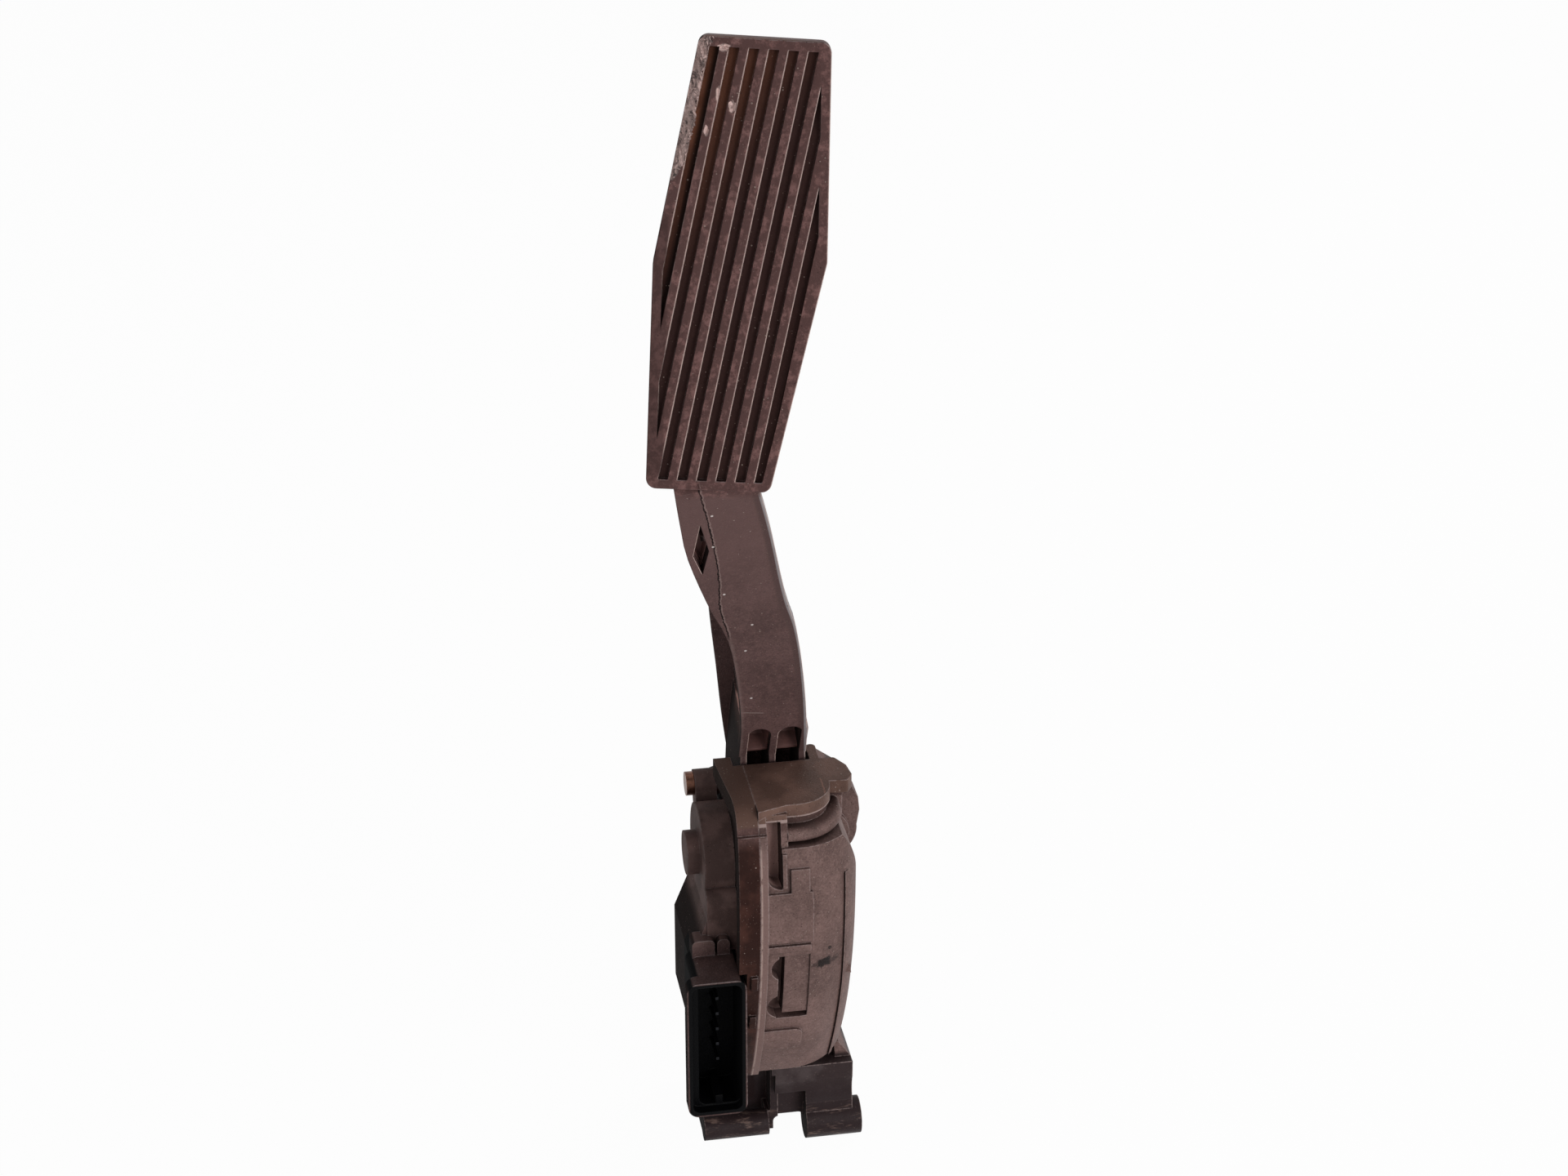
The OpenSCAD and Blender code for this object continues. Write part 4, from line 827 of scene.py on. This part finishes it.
class PEDAL_OT_lever(bpy.types.Operator):
    """Carve and finish the worn lever"""

    bl_idname = "pedal.make_lever"
    bl_label = "Make worn lever"

    def execute(self, context):
        plastics, wear = context.scene.pedal_plastics, context.scene.pedal_wear

        def pad_layer(f, tone):
            y, z = f.local(PAD_ORIGIN, PAD_TURN)[1:]
            scuffs = f.step(f.noise(0.35, 5.0, 0.75), 0.46, 0.66)
            colour = f.mix(f.times(scuffs, 0.8), plastics.pad[:], darker(plastics.pad, 2.4))
            above_end = f.step(z, RIBS_END - 2.0, RIBS_END + 0.5)
            return f.times(f.step(y, 8.0, 7.0), f.step(y, -2.0, -1.0), above_end), colour, 0.5

        # Painted shade: the floors of the grooves are dark red-brown, with a warmer tint toward the top
        # left.
        def grooves(f, tone):
            x, y, z = f.local(PAD_ORIGIN, PAD_TURN)
            warm = f.step(f.math("SUBTRACT", z, f.times(x, 1.6)), 10.0, 55.0)
            floor = f.mix(f.times(warm, 0.9), darker(plastics.recess_shade, 1.9), (0.12, 0.042, 0.022))
            depth = f.times(f.step(y, 0.25, 0.5), f.step(y, RIB_DEPTH, RIB_DEPTH - 0.3),
                            f.step(z, RIBS_END, RIBS_END + 2.0))
            return f.times(depth, f.within(x, -20.0, 20.0, 0.5), 0.95), floor, 0.6

        # Painted highlight: pale catch-lines on the rims of the ribs that lean right.
        def rib_highlights(f, tone):
            y, z = f.local(PAD_ORIGIN, PAD_TURN)[1:]
            rim = f.times(f.step(y, 0.55, 0.35), f.step(y, -2.0, -1.0), f.step(z, RIBS_END, RIBS_END + 1.5))
            rounded = f.add("ShaderNodeBevel", {"Radius": 0.00055}, samples=8).outputs[0]
            side = PAD_TURN @ Vector((0.9, 0.0, 0.0))
            right = f.step(f.lean(rounded, tuple(side)), 0.16, 0.42)
            speck = f.step(f.noise(0.7, 4.0, 0.75), 0.3, 0.5)
            return f.times(rim, right, f.scaled(speck, 0.5, 0.5)), (0.62, 0.45, 0.40), 0.42

        def crack(f, tone):
            return crack_mask(f, wear)[0], (0.004, 0.002, 0.002), 0.7

        def crack_light(f, tone):
            lit, ridge = crack_mask(f, wear)[1:]
            return f.times(f.math("MAXIMUM", lit, ridge), 0.35), (0.34, 0.25, 0.23), 0.5

        def arm_top(f, tone):
            z = f.local(ARM_ORIGIN, ARM_TURN)[2]
            mask = f.times(f.step(z, 45.0, 95.0), f.step(z, 125.0, 118.0), 0.7)
            return mask, darker(plastics.arm, 1.3), 0.5

        # Painted highlight: a grey-white line along the arm's right edge, with a darker band beside it.
        def right_edge_highlight(f, tone):
            x, y, z = f.local(ARM_ORIGIN, ARM_TURN)
            off = f.math("SUBTRACT", aside(f, z, ARM_RIGHT), x)
            mask = f.times(f.step(off, 2.6, 1.6), f.step(z, 116.0, 112.0), f.step(y, 3.4, 3.0), 0.85)
            pale = f.step(off, 0.75, 0.5)
            return mask, f.mix(pale, darker(plastics.arm, 0.8), (0.27, 0.245, 0.25)), 0.42

        # Painted light and shade inside the finger bays: pale where lit near the top, dark toward the
        # bottom.
        def finger_bay_light(f, tone):
            x, y, z = f.local(ARM_ORIGIN, ARM_TURN)
            deep = f.times(f.step(y, 1.0, 2.0), f.step(y, 14.0, 12.0), f.within(z, -6.0, 12.0, 0.5),
                           f.within(x, -9.0, 9.5, 0.3))
            colour = f.mix(f.step(z, -2.0, 9.0), (0.05, 0.026, 0.022), (0.9, 0.55, 0.48))
            return f.times(deep, 0.9), colour, 0.6

        # Painted glints: small pale spots on the arm's front face.
        def glints(f, tone):
            x, y, z = f.local(ARM_ORIGIN, ARM_TURN)
            total = 0.0
            for glint_spot in GLINT_SPOTS:
                total = f.math("MAXIMUM", total, f.step(reach_from(f, x, z, glint_spot), 0.42, 0.2))
            return f.times(total, f.step(y, 0.4, 0.1), 0.85), (0.62, 0.56, 0.54), 0.4

        def scratch(f, tone):
            x, y, z = f.local(ARM_ORIGIN, ARM_TURN)
            line = f.math("ADD", z, f.times(x, 0.17))
            mask = f.times(f.within(line, 15.5, 15.8, 0.14), f.within(x, -9.0, -3.5, 0.8))
            return f.times(mask, f.step(y, 0.3, 0.1), 0.5), (0.32, 0.25, 0.23), 0.5

        def left_margin(f):
            x, y, z = f.local(PAD_ORIGIN, PAD_TURN)
            smooth = f.step(f.noise(0.35, 4.0, 0.7), 0.4, 0.65)
            mask = f.times(f.step(x, -15.6, -16.4), f.within(z, -50.0, 12.0, 2.0), f.step(y, 1.1, 0.8))
            return mask, f.mix(smooth, darker(plastics.pad, 0.7), darker(plastics.pad, 1.2))

        # Where the painted catch-light highlight goes on the lever: everywhere but bands at the pad's top
        # and foot ends.
        def catch(f):
            z = f.local(PAD_ORIGIN, PAD_TURN)[2]
            pad_ends = f.math("SUBTRACT", f.step(z, 47.5, 48.5), f.step(z, 53.0, 54.0))
            foot_end = f.within(z, -53.5, -50.5, 0.4)
            return f.times(f.math("SUBTRACT", f.math("SUBTRACT", 1.0, pad_ends), foot_end), 0.9)

        layers = (arm_top, right_edge_highlight, finger_bay_light, pad_layer, grooves, rib_highlights, crack_light, crack,
                  glints, scratch)
        finish = moulded("lever plastic", plastics.arm[:], context, layers=layers, dust=0.5, left_shade=0.92,
                         catch=catch, cover=left_margin)
        finish_node("pedal_lever", finish)
        lever = merged_copy("pedal_lever", "worn_lever")
        torn = torn_finish(context)
        cutters = [closed_between("bite", *bite_sheet(wear))]
        chips = (((-2.1, 36.4), (0.8, 1.3), 0.7, 21), ((-5.3, 39.0), (0.5, 1.6), 0.6, 22),
                 ((-7.8, 30.7), (0.5, 1.2), 0.6, 23), ((-4.2, 49.4), (1.5, 0.8), 0.9, 24))
        cutters += [chip(*values) for values in chips]
        for cutter in cutters:
            cutter.materials.append(torn)
        carve(lever, cutters)
        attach(lever, "pedal")
        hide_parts("pedal_lever")
        return {"FINISHED"}


def pocket_mesh(outline, front, back, wall, flare):
    """A blind pocket in the arm: the outline is carried inwards along Y by a path of scale and depth.

    The path runs from the middle of the outer floor, up the outer wall, over the mouth, down the inner
    wall and to the middle of the inner floor, so the shell is closed."""
    corners = np.array(outline)
    following = np.roll(corners, -1, axis=0)
    share = np.linspace(0.0, 1.0, 9)[:-1]
    loop = (corners[:, None, :] * (1 - share[None, :, None]) + following[:, None, :] * share[None, :, None])
    loop = loop.reshape(-1, 2)
    middle = corners.mean(axis=0)
    path = ((0.0, back + wall), (0.9, back + wall), (flare - 0.05, back + wall - 1.0), (flare, front),
            (flare - 0.1, front), (flare - 0.12, front + 0.6), (0.9, back - 1.5), (0.7, back), (0.0, back))
    rings = np.array([[(middle[0] + (x - middle[0]) * scale, depth, middle[1] + (z - middle[1]) * scale)
                       for x, z in loop] for scale, depth in path])
    points = (rings.reshape(-1, 3) @ np.array(ARM_TURN).T + np.array(ARM_ORIGIN)) * MM
    index = np.arange(len(points)).reshape(rings.shape[:2])
    onward = np.roll(index, -1, axis=1)
    quads = quads_between(index[:-1], onward[:-1], onward[1:], index[1:])
    return shell_mesh("arm_pocket", points, quads)


class PEDAL_OT_pocket(bpy.types.Operator):
    """Make the blind pockets in the arm"""

    bl_idname = "pedal.make_pocket"
    bl_label = "Make arm pockets"

    def execute(self, context):
        recess_shade = context.scene.pedal_plastics.recess_shade
        # Painted shade in the pockets' corners at the share 0.4.
        shade = plain_plastic("pocket plastic", darker(recess_shade, 6.0), 0.7, corner_shade=0.4)
        diamond = ((-24.6, 96.6), (-21.9, 86.2), (-22.9, 77.0), (-25.6, 84.5))
        bay = ((-3.4, -3.0), (3.4, -3.0), (3.4, 8.0), (1.6, 10.0), (-1.6, 10.0), (-3.4, 8.0))
        left, right = [tuple((x + middle, z) for x, z in bay) for middle in (-4.7, 4.9)]
        pockets = (("arm_pocket", diamond, 4.6, 1.45), ("left_finger_bay", left, 8.0, 1.1),
                   ("right_finger_bay", right, 8.0, 1.1))
        for name, outline, back, flare in pockets:
            pocket = place(name, pocket_mesh(outline, 2.2, back, 0.8, flare))
            pocket.data.materials.append(shade)
            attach(pocket, "pedal")
        return {"FINISHED"}


class PEDAL_OT_hardware(bpy.types.Operator):
    """Finish the shaft, bushes, stops, spring seats and friction pieces"""

    bl_idname = "pedal.finish_hardware"
    bl_label = "Finish hardware"

    def execute(self, context):
        steel = metal("ground steel", (0.55, 0.55, 0.57), 0.28, (0.34, 0.33, 0.33))
        zinc = metal("zinc sleeves", (0.60, 0.60, 0.62), 0.34, (0.40, 0.38, 0.35))
        bush = plain_plastic("natural bush plastic", (0.62, 0.59, 0.50), 0.4)
        seat = plain_plastic("seat plastic", (0.05, 0.05, 0.055), 0.45)
        lining = plain_plastic("friction lining", (0.16, 0.13, 0.08), 0.6, fleck=0.5)
        rubber = plain_plastic("stop rubber", (0.018, 0.018, 0.019), 0.75)
        magnet = plain_plastic("magnet", (0.035, 0.035, 0.04), 0.35, fleck=0.3)
        finishes = {
            "pivot_shaft": steel, "shaft_clip": steel, "mount_sleeves": zinc,
            "left_bush": bush, "right_bush": bush, "sensor_rotor": bush,
            "front_spring_seat": seat, "tail_spring_seat": seat,
            "friction_lining": lining, "friction_shoe": lining,
            "idle_stop_pad": rubber, "full_stop_pad": rubber, "sensor_magnet": magnet,
        }
        for name, material in finishes.items():
            finish_node(name, material)
        return {"FINISHED"}


class PEDAL_OT_springs(bpy.types.Operator):
    """Copy the springs, which sit between the lever's tail and the housing, as merged meshes with a wire
    finish
    """

    bl_idname = "pedal.make_springs"
    bl_label = "Make springs"

    def execute(self, context):
        wire = metal("spring wire", (0.42, 0.42, 0.44), 0.3, (0.22, 0.20, 0.19))
        for node in ("outer_spring", "inner_spring"):
            spring = merged_copy(node, "pressed_" + node)
            spring.data.materials.clear()
            spring.data.materials.append(wire)
            spring.data.shade_smooth()
            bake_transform(spring)
            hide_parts(node)
        return {"FINISHED"}


def aim(thing, target, azimuth, elevation, distance):
    """Puts a camera or lamp at angles in radians and a distance from the target, and turns it there."""
    level = math.cos(elevation)
    back = Vector((math.sin(azimuth) * level, -math.cos(azimuth) * level, math.sin(elevation)))
    thing.location = target + back * distance
    thing.rotation_euler = back.to_track_quat("Z", "Y").to_euler()


def add_lamp(name, power, size):
    """A square area lamp."""
    data = bpy.data.lights.new(name, "AREA")
    data.energy, data.size = power, size
    return place(name, data)


def add_floor(tone):
    """A flat floor under the pedal: white to the camera, and of a tone for the light that it gives back."""
    level = CAD_BOX[0][2] - 0.0002
    span = np.linspace(-3.0, 3.0, 5)
    x, y = np.meshgrid(span, span, indexing="ij")
    points = np.stack([x, y, np.full_like(x, level)], axis=-1).reshape(-1, 3)
    index = np.arange(x.size).reshape(x.shape)
    quads = quads_between(index[:-1, :-1], index[:-1, 1:], index[1:, 1:], index[1:, :-1])
    mesh = bpy.data.meshes.new("floor")
    mesh.from_pydata(points.tolist(), [], quads.tolist())
    f = Finish("pale floor")
    diffuse = f.add("ShaderNodeBsdfDiffuse", {"Color": (tone, tone, tone)}).outputs[0]
    white = f.add("ShaderNodeEmission", {"Color": (1.0, 1.0, 1.0), "Strength": 1.0}).outputs[0]
    share = f.times(f.seen(), 0.97)
    f.finish(f.add("ShaderNodeMixShader", {0: share, 1: diffuse, 2: white}).outputs[0])
    mesh.materials.append(f.material)
    return place("floor", mesh)


def add_world(ambience):
    """White to the camera and in mirrors, and weaker as a light."""
    world = bpy.data.worlds.new("studio")
    bpy.context.scene.world = world
    w = Nodes(world)
    strength = w.spread(w.seen(), ambience, 1.0)
    sky = w.add("ShaderNodeBackground", {"Color": (1.0, 1.0, 1.0), "Strength": strength})
    w.finish(sky.outputs[0], "ShaderNodeOutputWorld")


class PEDAL_OT_stage(bpy.types.Operator):
    """Set the camera, the pale floor and the soft lamps"""

    bl_idname = "pedal.set_stage"
    bl_label = "Set stage"

    def execute(self, context):
        scene, studio = context.scene, context.scene.pedal_studio
        target = Vector(studio.target)
        data = bpy.data.cameras.new("camera")
        data.lens, data.sensor_width, data.sensor_fit = studio.focal_length, 36.0, "HORIZONTAL"
        data.clip_start = 0.01
        camera = place("camera", data)
        aim(camera, target, studio.azimuth, studio.elevation, studio.distance)
        scene.camera = camera
        add_floor(studio.floor)
        add_world(studio.ambience)
        for name, azimuth, elevation, distance, size in LAMPS:
            lamp = add_lamp(name, getattr(studio, name), size)
            aim(lamp, target, math.radians(azimuth), math.radians(elevation), distance)
        scene.view_settings.view_transform = "Standard"
        return {"FINISHED"}


class PEDAL_PT_panel(bpy.types.Panel):
    """Lists the pieces and their settings"""

    bl_idname = "PEDAL_PT_panel"
    bl_label = "Pedal"
    bl_space_type = "VIEW_3D"
    bl_region_type = "UI"
    bl_category = "Pedal"

    def draw(self, context):
        layout = self.layout
        for group in (context.scene.pedal_plastics, context.scene.pedal_wear, context.scene.pedal_studio):
            box = layout.box()
            for name in group.__annotations__:
                box.prop(group, name)
        for operator in OPERATORS:
            layout.operator(operator.bl_idname)


OPERATORS = (PEDAL_OT_stage, PEDAL_OT_housing, PEDAL_OT_sensor, PEDAL_OT_lever, PEDAL_OT_pocket,
             PEDAL_OT_hardware, PEDAL_OT_springs)
CLASSES = (PedalPlastics, PedalWear, PedalStudio) + OPERATORS + (PEDAL_PT_panel,)


def register():
    for cls in CLASSES:
        bpy.utils.register_class(cls)
    bpy.types.Scene.pedal_plastics = PointerProperty(type=PedalPlastics)
    bpy.types.Scene.pedal_wear = PointerProperty(type=PedalWear)
    bpy.types.Scene.pedal_studio = PointerProperty(type=PedalStudio)


def unregister():
    del bpy.types.Scene.pedal_studio
    del bpy.types.Scene.pedal_wear
    del bpy.types.Scene.pedal_plastics
    for cls in reversed(CLASSES):
        bpy.utils.unregister_class(cls)


def main():
    register()
    bpy.ops.pedal.set_stage()
    bpy.ops.pedal.finish_housing()
    bpy.ops.pedal.finish_sensor()
    bpy.ops.pedal.make_lever()
    bpy.ops.pedal.make_pocket()
    bpy.ops.pedal.finish_hardware()
    bpy.ops.pedal.make_springs()


if __name__ == "__main__":
    main()
